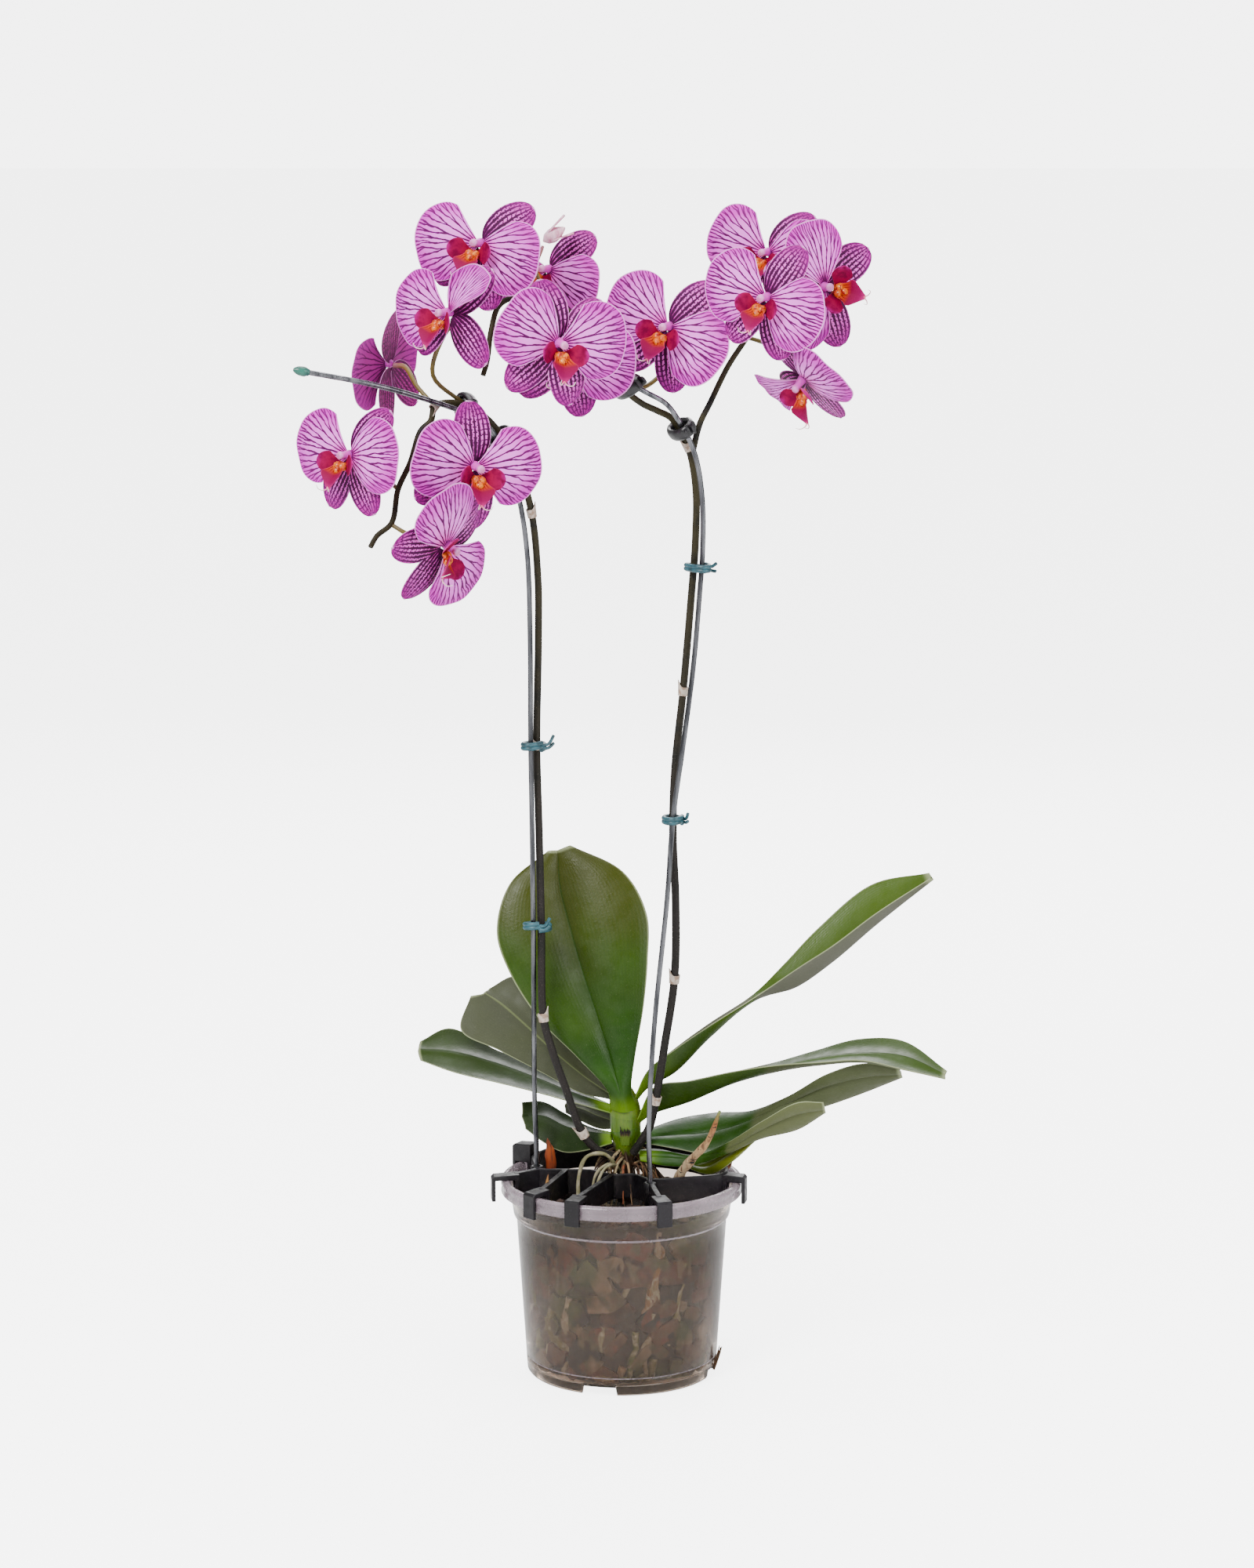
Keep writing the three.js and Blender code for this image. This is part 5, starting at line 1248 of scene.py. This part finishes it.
def column():
    """The column, with the anther cap at its end."""
    profile = [(0.8, -3.2), (1.9, -2.6), (2.5, -1.6), (2.6, 0.5), (2.1, 3), (1.8, 4.6), (1.9, 5.8),
               (2.2, 6.8), (2.1, 7.8), (1.4, 8.6), (0.4, 8.8)]
    corners, faces, marks = lathe(profile, circle(20))
    bowed = [(x, y * (1.05 if y > 0 else 0.85) - 0.02 * max(z, 0) ** 1.6 + 0.6, z)
             for x, y, z in corners]
    return bowed, faces, marks


def lip_middle_lobe():
    """The keeled arrowhead that runs down and forward from the column's foot."""
    line = [[0, -3.7, 3.4], [0, -7.5, 7.5], [0, -11, 12], [0, -17.5, 14.5]]
    s, t = sheet_grid(30, 19)
    middles = np.array([on_curve(line, along) for along in np.linspace(0, 1, 30)])
    width = np.interp(s, [0, 0.2, 0.36, 0.5, 0.62, 0.72, 0.85, 1],
                      [2.6, 3.8, 4.4, 5.4, 6.8, 6.6, 4, 0.8])
    rise = np.abs(t) ** 1.4 * width
    surface = middles[:, None, :] + np.stack([t * width, 0.35 * rise, 0.2 * rise], 2)
    return blade(surface, 0.7 * (1 - 0.4 * np.abs(t) ** 6))


def lip_side_lobe(side):
    """One of the two rounded lobes that stand up beside the column."""
    s, t = sheet_grid(28, 21)
    disc = 5.6 * np.sqrt(np.clip(1 - ((s - 0.56) / 0.44) ** 2, 0, 1))
    half_width = np.maximum(np.where(s > 0.56, disc, 1.5 + 4.1 * (s / 0.56) ** 1.2), 0.5)
    along = np.array([0.82, 0.18, 0.55]) * 13.6
    across = np.array([0.15, -0.98, 0.1])
    inward = np.array([-0.55, 0, 0.82])
    middle = np.array([1.4, -5.2, 3.6]) + s[..., None] * along
    cup = 0.14 * half_width * t * t + 1.4 * (s - 0.5) ** 2
    surface = middle + across * (half_width * t)[..., None] + inward * cup[..., None]
    surface[..., 0] *= side
    return blade(surface, 0.6 * (1 - 0.5 * np.abs(t) ** 8), flip=side < 0)


def lip_callus(dice):
    """The callus: three warty swellings where the lobes meet."""
    knobs = Shape()
    rings, sides = 9, 16
    for x, y, z, size in [(-1.6, -5.4, 6.6, 2.4), (1.6, -5.4, 6.6, 2.4), (0, -7.6, 8.6, 2.2)]:
        corners = []
        for ring in range(rings):
            slope = math.pi * ring / (rings - 1)
            for angle in circle(sides):
                out = Vector((math.sin(slope) * math.cos(angle), math.sin(slope) * math.sin(angle),
                              math.cos(slope)))
                wart = 1 + 0.15 * noise.noise(out * 2.5 + Vector((x, dice.random(), z)))
                corners.append(Vector((x, y, z)) + out * size * wart)
        knobs.add(corners, grid_faces(rings, sides, wrap=True), toned(corners, 0.2))
    return knobs


def tendrils():
    """The two thin tails at the tip of the lip."""
    tails = Shape()
    for side in (-1, 1):
        line = [(0, -16.4, 14.2), (side * 1.5, -18, 15.5), (side * 3.4, -17.6, 18),
                (side * 3.8, -15.4, 19.5)]
        tails.add(*rod(line, lambda along: 0.42 * (1 - 0.7 * along), sides=6, per_span=5))
    return tails


def facing(bloom):
    """How a bloom's own frame is turned and set on the plant."""
    turn = Quaternion((0, 0, 1), math.radians(bloom["yaw"]))
    turn = turn @ Quaternion((1, 0, 0), math.radians(90 - bloom["pitch"]))
    turn = turn @ Quaternion((0, 0, 1), math.radians(bloom["roll"]))
    return np.array(turn.to_matrix()) * bloom["size"], np.array(bloom["at"], float)


def set_on(bloom, part):
    """A part of a bloom, from its own frame to its place on the plant."""
    turn, at = facing(bloom)
    corners, faces, marks = part
    return np.asarray([tuple(c) for c in corners]) @ turn.T + at, faces, marks


vein_net, given, put = group(
    "vein_net",
    {"Count": 7.0, "First Fork": 0.3, "Second Fork": 0.6, "Bars": 0.0, "Line": 0.3, "Narrow": 4.0,
     "Wide": 40.0},
    {"Veins": NUMBER, "Rim": NUMBER, "Along": NUMBER, "Across": NUMBER})
FORK_LENGTH = 0.34


def wobbled(value, scale, amount):
    """A value moved a little by noise, so that no vein runs straight."""
    return value + (vein_net.speckle(scale, 2) - 0.5) * amount


def off_line(value):
    """How far a value is from the middle between two whole numbers."""
    return abs(vein_net.calc("FRACT", value) - 0.5)


across, along = vein_net.mark("across"), vein_net.mark("along")
cells = wobbled(across, 0.14, 0.055) * given["Count"]
cell = vein_net.calc("FLOOR", cells)
chance = vein_net.node("TexWhiteNoise", {"W": cell}, "Value", noise_dimensions="1D")
distance = off_line(cells)
for label, spread in (("First Fork", 0.25), ("Second Fork", 0.125)):
    begin = given[label] + (chance * 0.2 - 0.1)
    distance = abs(distance - (along - begin).between(0, FORK_LENGTH, 0, spread))
width = along * (given["Wide"] - given["Narrow"]) + given["Narrow"]
distance = distance * (width / given["Count"])
line = given["Line"] * vein_net.speckle(0.35, 2).between(0.3, 0.7, 0.7, 1.25)
veins = distance.between(line * 0.5, line, 1, 0)
bars = off_line(wobbled(along, 0.3, 0.05) * given["Bars"] + chance * 7).between(0.1, 0.17, 1, 0)
bars = bars * ((given["Bars"] > 0.5) * along.between(0.12, 0.3))
bars = bars * vein_net.speckle(0.22, 2).between(0.3, 0.42)
off_middle = abs(across * 2 - 1)
rim = vein_net.calc("MAXIMUM", off_middle.between(0.965, 0.99), along.between(0.975, 0.993))
vein_net.feed(put["Veins"], vein_net.calc("MAXIMUM", veins, bars) * (1 - rim))
vein_net.feed(put["Rim"], rim)
vein_net.feed(put["Along"], along)
vein_net.feed(put["Across"], off_middle)


def tepal_skin(name, heart, middle, outer, vein, back, **values):
    """A petal's or sepal's colours: ground by distance from its heart, veins, rim and back."""
    skin = Finish(name, roughness=0.55, sheen_weight=0.06, sheen_roughness=0.4,
                  subsurface_weight=0.1, subsurface_scale=0.0008, specular_ior_level=0.12)
    own = placed(skin, vein_net, **values)
    veins = own["Veins"]
    far = own["Along"] + own["Across"] * 0.25 + (skin.speckle(0.05, 3) - 0.5) * 0.5
    ground = skin.layers(heart, (own["Along"].between(0.02, 0.3), middle),
                         (far.between(0.5, 1.15), outer))
    line = skin.layers(vein, (far.between(0.6, 1.4), "#7C0870"))
    behind = skin.layers(back, (veins * 0.85, vein), (far.between(0.6, 1.2, 0, 0.4), outer))
    skin.coat(ground).coat(line, veins).coat(behind, skin.mark("kind") > 0.5)
    skin.coat("#F8B4F0", own["Rim"] * 0.6)
    return skin.relief(veins * -0.8 + skin.speckle(1.5, 3), 0.2, 0.5)


petal_skin = tepal_skin(
    "petal_skin", "#E830C0", "#FC7CF4", "#D020C0", "#52004A", "#B42C98",
    Count=9.0, Line=0.45, Narrow=4.0, Wide=60.0, First_Fork=0.36, Second_Fork=0.66)
sepal_skin = tepal_skin(
    "sepal_skin", "#C81CA8", "#F064DC", "#A00888", "#400038", "#B83094",
    Count=8.0, Line=0.62, Narrow=6.0, Wide=20.0, Bars=12.0, First_Fork=2.0, Second_Fork=2.0)

column_skin = Finish("column_skin", roughness=0.35, subsurface_weight=0.3, subsurface_scale=0.002)
column_skin.tones("along", (0.0, "#C024B0"), (0.5, "#D848C0"), (0.68, "#D868C4"), (0.85, "#DC8CC8"),
                  (1.0, "#C464A0"))

lip_skin = Finish("lip_skin", roughness=0.6, specular_ior_level=0.08)
lip_skin.tones("along", (0.0, "#C86400"), (0.34, "#C04A00"), (0.5, "#A82A10"), (0.62, "#7C0034"),
               (0.85, "#820048"), (1.0, "#B02070"))
across, along = lip_skin.mark("across"), lip_skin.mark("along")
stripes = lip_skin.calc("SINE", across * 46 + lip_skin.speckle(0.3, 2) * 9).between(0.1, 0.5)
lip_skin.coat("#7A0412", stripes * along.between(0.4, 0.66, 1, 0))
lip_skin.coat("#C02070", abs(across * 2 - 1).between(0.93, 1.0, 0, 0.4))
lip_skin.grain(0.6, 4, 0.3, 0.6)

lobe_skin = Finish("lip_lobe_skin", roughness=0.65, specular_ior_level=0.06)
lobe_skin.tones("along", (0.0, "#C46A02"), (0.1, "#A82404"), (0.22, "#8C0030"), (0.8, "#8E0044"),
                (1.0, "#A40078"))
lobe_skin.blotches("#680030", 0.25, 3, 0.35, 0.7)
outer = lobe_skin.ramp(lobe_skin.mark("along"), (0.0, "#E89A30"), (0.4, "#E070A8"),
                       (0.8, "#C42A8C"), (1.0, "#A80C70"))
lobe_skin.coat(outer, lobe_skin.mark("kind") > 0.5).grain(1.2, 3, 0.15, 0.5)

callus_skin = Finish("callus_skin", roughness=0.3, subsurface_weight=0.2, subsurface_scale=0.001)
callus_skin.coat("#C84E00").blotches("#E07C04", 0.5, 3, 0.45, 0.6)
callus_skin.blotches("#8E0A04", 0.8, 3, 0.54, 0.6, stretch=(1, 1, 0.4))

tendril_skin = Finish("tendril_skin", roughness=0.4)
tendril_skin.tones("along", (0.0, "#D8406A"), (0.4, "#F0B8C4"), (1.0, "#F8E4D8"))

for number, bloom in enumerate(BLOOMS):
    dice = random.Random(40 + number)
    top, left, right = bloom["sepals"]
    tepals = Shape()
    for side, way in ((1, "right"), (-1, "left")):
        tepals.add(*set_on(bloom, petal(side, dice, *bloom.get(way, (PETAL["lift"], 1)))))
    for length, angle, bend, reflex in (
            (SEPAL["dorsal"], top, 0, 0.2), (SEPAL["lateral"], left, 0.1, 0.12),
            (SEPAL["lateral"], right, -0.1, 0.12)):
        tepals.add(*set_on(bloom, sepal(length, angle, bend, reflex)), stuff=1)
    tepals.add(*set_on(bloom, column()), stuff=2)
    tepals.make(bloom["name"] + "_petals", "petal", [petal_skin, sepal_skin, column_skin],
                [bloom["name"] + "_tepals"], sharp=60)
    lip = Shape()
    lip.add(*set_on(bloom, lip_middle_lobe()))
    for side in (1, -1):
        lip.add(*set_on(bloom, lip_side_lobe(side)), stuff=1)
    for stuff, part in ((2, lip_callus(dice)), (3, tendrils())):
        lip.add(*set_on(bloom, (part.corners, part.faces, part.marks)), stuff=stuff)
    lip.make(bloom["name"] + "_lip_lobes", "lip", [lip_skin, lobe_skin, callus_skin, tendril_skin],
             [bloom["name"] + "_lip"], sharp=60)

# ---------------------------------------------------------------------------------- spikes
# Two flower spikes: dark, finely speckled stems with a papery beige scale at every node. They
# turn olive higher up, where each bloom hangs on its own pale, slightly ribbed stalk.

STEM = {"foot": 2.2, "tip": 1.3, "branch": 1.6}
# Each spike's way up, which of its points have a scale, and the blooms that hang on it.
SPIKES = {
    "left": {
        "line": [
            [-1, 1, 112], [-12, -6, 118], [-20, -9, 128], [-29, -11, 153], [-36, -12, 174],
            [-40, -12, 190], [-41, -9, 237], [-42, -7, 286], [-43, -6, 330], [-42, -8, 382],
            [-42, -10, 415], [-45, -14, 449], [-51, -20, 471], [-59, -28, 488], [-68, -36, 499],
            [-77, -42, 505], [-91, -54, 505], [-93, -56, 498], [-98, -57, 493], [-103, -59, 478],
            [-109, -62, 465], [-112, -66, 449], [-119, -70, 443], [-122, -74, 438],
        ],
        "nodes": [2, 5, 8, 11, 16],
        "blooms": ["bloom_02", "bloom_03", "bloom_04", "bloom_05", "bloom_06"],
    },
    "right": {
        "line": [
            [6, -3, 116], [14, -7, 130], [17.5, -10, 146], [22, -13, 175], [27, -16, 211],
            [27.5, -20, 251], [26, -22, 288], [27, -22, 321], [31, -22, 360], [35, -22, 408],
            [37, -22, 436], [37, -22, 463], [33, -24, 483], [25, -28, 497], [18, -31, 501],
            [10, -34, 505], [2, -38, 512], [-9, -40, 530], [-20, -35, 545], [-36, -30, 555],
            [-51, -28, 557], [-60, -30, 553], [-64, -34, 541], [-66, -38, 526], [-68, -40, 519],
        ],
        "nodes": [2, 4, 8, 12],
        "blooms": ["bloom_01", "bloom_07", "bloom_08", "bloom_09", "bloom_10", "bloom_11",
                   "bloom_12", "bloom_13", "bloom_14"],
        "branch": [
            [35, -23, 478], [39, -22, 494], [44, -20, 504], [53, -16, 522], [61, -14, 534],
            [69, 8, 543], [77, 20, 552], [85, 27, 562], [90, 29, 572],
        ],
    },
}


def pedicel(bloom):
    """A bloom's stalk, which meets it square on from behind."""
    turn, at = facing(bloom)
    forward = turn[:, 2] / bloom["size"]
    end = 3.2 * bloom["size"] + 0.3
    points = bloom["stalk"] + [(at - forward * (end + 6)).tolist(), (at - forward * end).tolist()]
    return rod(points, lambda along: 1.05 + 0.35 * along, sides=10)


def bract(line, knot, radius):
    """The papery scale that wraps a node, split and pointed on one side."""
    spans = len(line) - 1
    middle = Vector(on_curve(line, knot / spans))
    ahead = (Vector(on_curve(line, min((knot + 0.05) / spans, 1))) - middle).normalized()
    side = ahead.cross(Vector((0, 1, 0))).normalized()
    other = ahead.cross(side)
    rows, columns = 9, 24
    surface = []
    for row in range(rows):
        up = row / (rows - 1)
        ring = []
        for angle in np.linspace(0, 2 * math.pi, columns):
            peak = max(0, math.cos(angle - math.pi * (knot % 2))) ** 3
            length = 4.4 + 3.4 * peak
            reach = radius + 0.35 + 0.25 * up + 0.5 * peak * up * up
            out = (side * math.cos(angle) + other * math.sin(angle)) * reach
            ring.append(tuple(middle + ahead * (-2.4 + up * length) + out))
        surface.append(ring)
    return blade(np.array(surface), np.full((rows, columns), 0.4))


dark_stem = Finish("dark_stem", roughness=0.55, specular_ior_level=0.2)
dark_stem.coat("#1D1917").coat("#302B15", dark_stem.height().between(0.25, 0.5))
dark_stem.blotches("#13130F", 0.08, 4, 0.45, 0.7).blotches("#6F675B", 1.6, 3, 0.6, 0.7, share=0.22)
dark_stem.grain(0.9, 4, 0.25, 0.6, stretch=(1, 1, 0.25))

stalk_skin = Finish("stalk_skin", roughness=0.42, subsurface_weight=0.1, subsurface_scale=0.001)
stalk_skin.tones("along", (0.0, "#4D4311"), (0.5, "#706018"), (0.85, "#8F584C"), (1.0, "#A9657F"))
stalk_skin.blotches("#5D4122", 0.15, 3, 0.4, 0.7, share=0.5)
stalk_skin.grain(0.6, 3, 0.2, 0.5, stretch=(1, 1, 0.2))

scale_paper = Finish("scale_paper", roughness=0.75)
scale_paper.coat("#BCAFA2").blotches("#907765", 0.5, 5, 0.4, 0.65)
scale_paper.grain(1.2, 4, 0.3, 0.7, stretch=(1, 1, 0.3))

BUD = {"at": [-38, -12, 584], "lean": 58, "stalk_radius": 0.9,
       "stalk": [[-36, -30, 555], [-42, -22, 570], [-39, -13, 581]]}


def stem_radius(along):
    """A spike thins evenly from its foot to its tip."""
    return STEM["foot"] + (STEM["tip"] - STEM["foot"]) * along


for side, spike in SPIKES.items():
    stem = Shape().add(*rod(spike["line"], stem_radius, sides=18, per_span=8))
    for bloom in BLOOMS:
        if bloom["name"] in spike["blooms"]:
            stem.add(*pedicel(bloom), stuff=1)
    if "branch" in spike:
        stem.add(*rod(spike["branch"], lambda along: STEM["branch"] * (1 - 0.3 * along), sides=14))
        stem.add(*rod(BUD["stalk"], lambda along: BUD["stalk_radius"], sides=8), stuff=1)
    for knot in spike["nodes"]:
        radius = stem_radius(knot / (len(spike["line"]) - 1))
        stem.add(*bract(spike["line"], knot, radius), stuff=2)
    stem.make("spike_" + side + "_stem", "stem", [dark_stem, stalk_skin, scale_paper],
              ["spike_" + side])

# ------------------------------------------------------------------------------------- bud
# An unopened bloom behind the top left one: pale pink sepals still folded round each other.

bud_skin = Finish("bud_skin", roughness=0.5, subsurface_weight=0.2, subsurface_scale=0.001)
bud_skin.coat("#F0C8D6").blotches("#C97A9E", 0.35, 4, 0.4, 0.65, stretch=(1, 1, 0.3))

bud = Shape()
profile = [(0.3, -1), (2.6, 1), (3.5, 3.6), (3.6, 5), (3.1, 7.4), (2.1, 9.4), (1, 11.2), (0.2, 12)]
corners, faces, marks = lathe(profile, circle(20))
ribbed = [(x * (1 + 0.08 * math.sin(3 * math.atan2(y, x))), y, z) for x, y, z in corners]
bud.add(ribbed, faces, marks)
lean = Matrix.Rotation(math.radians(BUD["lean"]), 3, "Y")
for side in (-1, 1):
    corners, faces, marks = sepal(length=15, angle=0, bend=0, reflex=0)
    scale = np.asarray(corners) * np.array([1, 0.4, 1])
    turn = np.array(Matrix.Rotation(-math.radians(90 - side * 14), 3, "Y"))
    bud.add(scale @ turn.T + np.array([side * 1.4 - 2, 0, 0]), faces, marks)
bud.corners = [tuple(lean @ Vector(corner) + Vector(BUD["at"])) for corner in bud.corners]
bud.make("bud_scales", "bud", [bud_skin], ["bud"], sharp=60)

# ----------------------------------------------------------------------------------- wires
# Two bare steel wires, bent by hand to follow the spikes. They stand in the ring's sockets and in
# the bark, and a green moulded cap closes the left one's free end.

WIRES = {
    "left": [
        [-44, 4.4, 16], [-44, 4.4, 98], [-44, 4.3, 110], [-45, 1, 145], [-45, -6, 187],
        [-45, -10, 237], [-45.5, -10.5, 290], [-46, -11, 330], [-46, -12.5, 383], [-47, -15, 425],
        [-50, -19, 451], [-55, -25, 472], [-61, -33, 487], [-69, -42, 497], [-78, -50, 502],
        [-93, -60, 508], [-111, -68, 514], [-126, -74, 518], [-150, -82, 523],
    ],
    "right": [
        [14.6, -29, 16], [14.6, -29, 98], [14.6, -29.1, 110], [14, -31, 127], [14.5, -32, 155],
        [17, -31, 194], [23, -29, 254], [26, -28, 296], [31, -28, 333], [36, -28, 373],
        [39, -28, 409], [40.5, -28, 432], [40, -28, 460], [36, -30, 481], [28, -34, 497],
        [22, -37, 505], [12, -42, 511], [3, -44, 516], [-3, -45, 520],
    ],
}

steel = Finish("steel_wire", metallic=1.0, roughness=0.28)
steel.coat("#76777B").blotches("#3A3B3F", 0.3, 5, 0.35, 0.7, stretch=(1, 1, 0.1))
steel.gloss(0.9, 4, 0.18, 0.42, stretch=(1, 1, 0.08)).grain(1.2, 3, 0.05, 0.5, stretch=(1, 1, 0.05))

for side, line in WIRES.items():
    wire = Shape().add(*rod(line, lambda along: WIRE_RADIUS, sides=20, per_span=8))
    wire.make("wire_" + side + "_steel", "wire", [steel], ["wire_" + side])

green_cap = Finish("green_cap", roughness=0.35)
green_cap.coat("#256B5B").blotches("#1A4E44", 0.3, 4, 0.4, 0.7)
tip, before = Vector(WIRES["left"][-1]), Vector(WIRES["left"][-2])
out = (tip - before).normalized()
cap_radii = [1.7, 1.9, 2.3, 2.45, 2.4, 2.3, 2.2, 1.9, 1.4, 0.8]
last = len(cap_radii) - 1
cap_line = [tip + out * (0.3 + 7.7 * k / last) for k in range(last + 1)]
cap = Shape().add(*rod(
    cap_line, lambda along: cap_radii[round(along * last)], sides=24, per_span=1))
cap.make("wire_cap_moulding", "cap", [green_cap], ["wire_cap"])

# ------------------------------------------------------------------------- ties and clips
# The spikes hang on their wires by four twists of teal plastic-covered wire, with their tails
# bent out, and by four black spring clips that are pinched open by two small tabs.

# A tie or clip sits at a point along its spike's way. A tie's tail reaches out and up.
TIES = [
    {"side": "left", "point": 8, "tail": (-7, 3)},
    {"side": "left", "point": 6, "tail": (-5, 3)},
    {"side": "right", "point": 9.5, "tail": (5, 1)},
    {"side": "right", "point": 6.2, "tail": (4, 2)},
]
CLIPS = [
    {"side": "left", "point": 13}, {"side": "left", "point": 15},
    {"side": "right", "point": 12.6}, {"side": "right", "point": 16},
]


def clasp_frame(side, point, thickness):
    """Where a loop round a stem and its wire lies: its middle, its axes and its half sizes."""
    line = SPIKES[side]["line"]
    spans = len(line) - 1
    middle = Vector(on_curve(line, point / spans))
    axis = (Vector(on_curve(line, (point + 0.02) / spans)) - middle).normalized()
    wire = min((Vector(on_curve(WIRES[side], k / 800)) for k in range(801)),
               key=lambda spot: (spot - middle).length)
    across = wire - middle
    across -= axis * across.dot(axis)
    long = across.length / 2 + STEM["foot"] + thickness + 1.2
    short = STEM["foot"] + thickness + 1.4
    across.normalize()
    return (middle + wire) / 2, across, axis.cross(across), axis, long, short


def loop(spec, thickness, turns, pitch):
    """A strand that runs round the stem and its wire, with its ends side by side."""
    middle, x, y, axis, long, short = clasp_frame(spec["side"], spec["point"], thickness)
    steps = 10 * turns
    line = []
    for k in range(steps + 1):
        angle = math.pi / 2 + 2 * math.pi * turns * k / steps
        climb = axis * (pitch * (k / steps - 0.5))
        line.append(middle + x * long * math.cos(angle) + y * short * math.sin(angle) + climb)
    return line


teal = Finish("teal_tie", roughness=0.4)
teal.coat("#285762").blotches("#18373E", 0.3, 4, 0.35, 0.7).grain(1.0, 3, 0.1, 0.5)
black_plastic = Finish("black_plastic", roughness=0.32)
black_plastic.coat("#100F12").blotches("#252428", 0.4, 5, 0.45, 0.7).grain(1.2, 3, 0.08, 0.5)

TIE = {"clearance": 1, "turns": 2, "pitch": 3.6, "radius": 1.2, "tail": 0.85}
for number, spec in enumerate(TIES, 1):
    middle, x, y, axis, long, short = clasp_frame(spec["side"], spec["point"], TIE["clearance"])
    reach, rise = spec["tail"]
    strand = loop(spec, TIE["clearance"], TIE["turns"], TIE["pitch"])
    twist = Shape().add(*rod(strand, lambda along: TIE["radius"], per_span=4))
    for end in (-1, 1):
        tail = [middle + y * short + axis * end * 0.8,
                middle + x * reach / 2 + y * (short + 2) + axis * end,
                middle + x * reach + y * (short + 3) + axis * (rise + end * 2)]
        twist.add(*rod(tail, lambda along: TIE["tail"], sides=8))
    twist.make(f"tie_{number}_twist", "tie", [teal], [f"tie_{number}"])

# The clip's ring is a rod 1.9 times as wide along the stem as it is thick. Its tabs flare apart.
CLIP = {"radius": 1.7, "widening": 0.9, "rows": 6, "sides": 12, "tab": 3.2, "half_width": 2.8,
        "taper": 0.6}
for number, spec in enumerate(CLIPS, 1):
    middle, x, y, axis, long, short = clasp_frame(spec["side"], spec["point"], CLIP["radius"])
    ring = loop(spec, CLIP["radius"], turns=1, pitch=0.2)
    corners, faces, marks = rod(ring, lambda along: CLIP["radius"], sides=14, per_span=4)
    wide = [corner + axis * (corner - middle).dot(axis) * CLIP["widening"] for corner in corners]
    spring = Shape().add(wide, faces, marks)
    rows, sides = CLIP["rows"], CLIP["sides"]
    for turn in (-1, 1):
        tab = []
        for row in range(rows):
            up = row / (rows - 1)
            for angle in circle(sides):
                width = math.cos(angle) * (CLIP["half_width"] - CLIP["taper"] * up)
                spot = middle + x * (long + 0.2 + CLIP["tab"] * up) + axis * width
                tab.append(spot + y * (turn * (1.1 + 1.0 * up) + 0.8 * math.sin(angle)))
        spring.add(tab, tube_faces(rows, sides))
    spring.make(f"clip_{number}_spring", "clip", [black_plastic], [f"clip_{number}"])

# ----------------------------------------------------------------------------------- stage
# A plain pale floor under soft studio light, seen from where the photograph was taken.

FLOOR_HALF = 60
FLOOR_GAP = 0.0004
corners = [(x * FLOOR_HALF, y * FLOOR_HALF, 0) for x, y in ((-1, -1), (1, -1), (1, 1), (-1, 1))]
floor_mesh = bpy.data.meshes.new("floor")
floor_mesh.from_pydata(corners, [], [(0, 1, 2, 3)])
floor = bpy.data.objects.new("floor", floor_mesh)
floor.location.z = cad_box[0].z - FLOOR_GAP
bpy.context.scene.collection.objects.link(floor)
paper = Finish("pale_paper", roughness=0.9, emission_color="#FFFFFF")
paper.coat("#F2F2F3").coat("#F6F6F6", paper.speckle(0.002, 2))
paper.set(emission_strength=paper.node("LightPath", {}, "Is Camera Ray") * 4.45)
floor_mesh.materials.append(paper.material)


def softbox(name, at, size, watts, aim=(0, 0, 0.35)):
    """A round studio light, in metres, that faces the plant."""
    light = bpy.data.lights.new(name, "AREA")
    light.shape = "DISK"
    light.size = size
    light.energy = watts
    lamp = bpy.data.objects.new(name, light)
    lamp.location = at
    lamp.rotation_euler = (Vector(aim) - Vector(at)).to_track_quat("-Z", "Y").to_euler()
    bpy.context.scene.collection.objects.link(lamp)


softbox("key", (-0.9, -1.5, 1.7), size=1.0, watts=65)
softbox("fill", (1.5, -1.2, 0.9), size=1.3, watts=24)
softbox("top", (0.1, 0.2, 2.0), size=1.4, watts=27)
softbox("back", (0.2, 1.8, 1.2), size=1.3, watts=22)
world = bpy.data.worlds.new("studio")
world.use_nodes = True
studio = Nodes(world.node_tree)
sky = studio.tree.nodes["Background"]
studio.feed(sky.inputs["Color"], "#FFFFFF")
seen = studio.node("LightPath", {}, "Is Camera Ray")
studio.feed(sky.inputs["Strength"], seen * 4.9 + 0.57)
bpy.context.scene.world = world

CAMERA = {"sensor": 36, "lens": 91.26, "tilt": 9.4, "from_foot": (0.0028, -2.0, 0.640)}
camera = bpy.data.cameras.new("camera")
camera.sensor_width = CAMERA["sensor"]
camera.lens = CAMERA["lens"]
eye = bpy.data.objects.new("camera", camera)
eye.location = POT_FOOT + Vector(CAMERA["from_foot"])
eye.rotation_euler = (math.radians(90 - CAMERA["tilt"]), 0, 0)
bpy.context.scene.collection.objects.link(eye)
bpy.context.scene.camera = eye
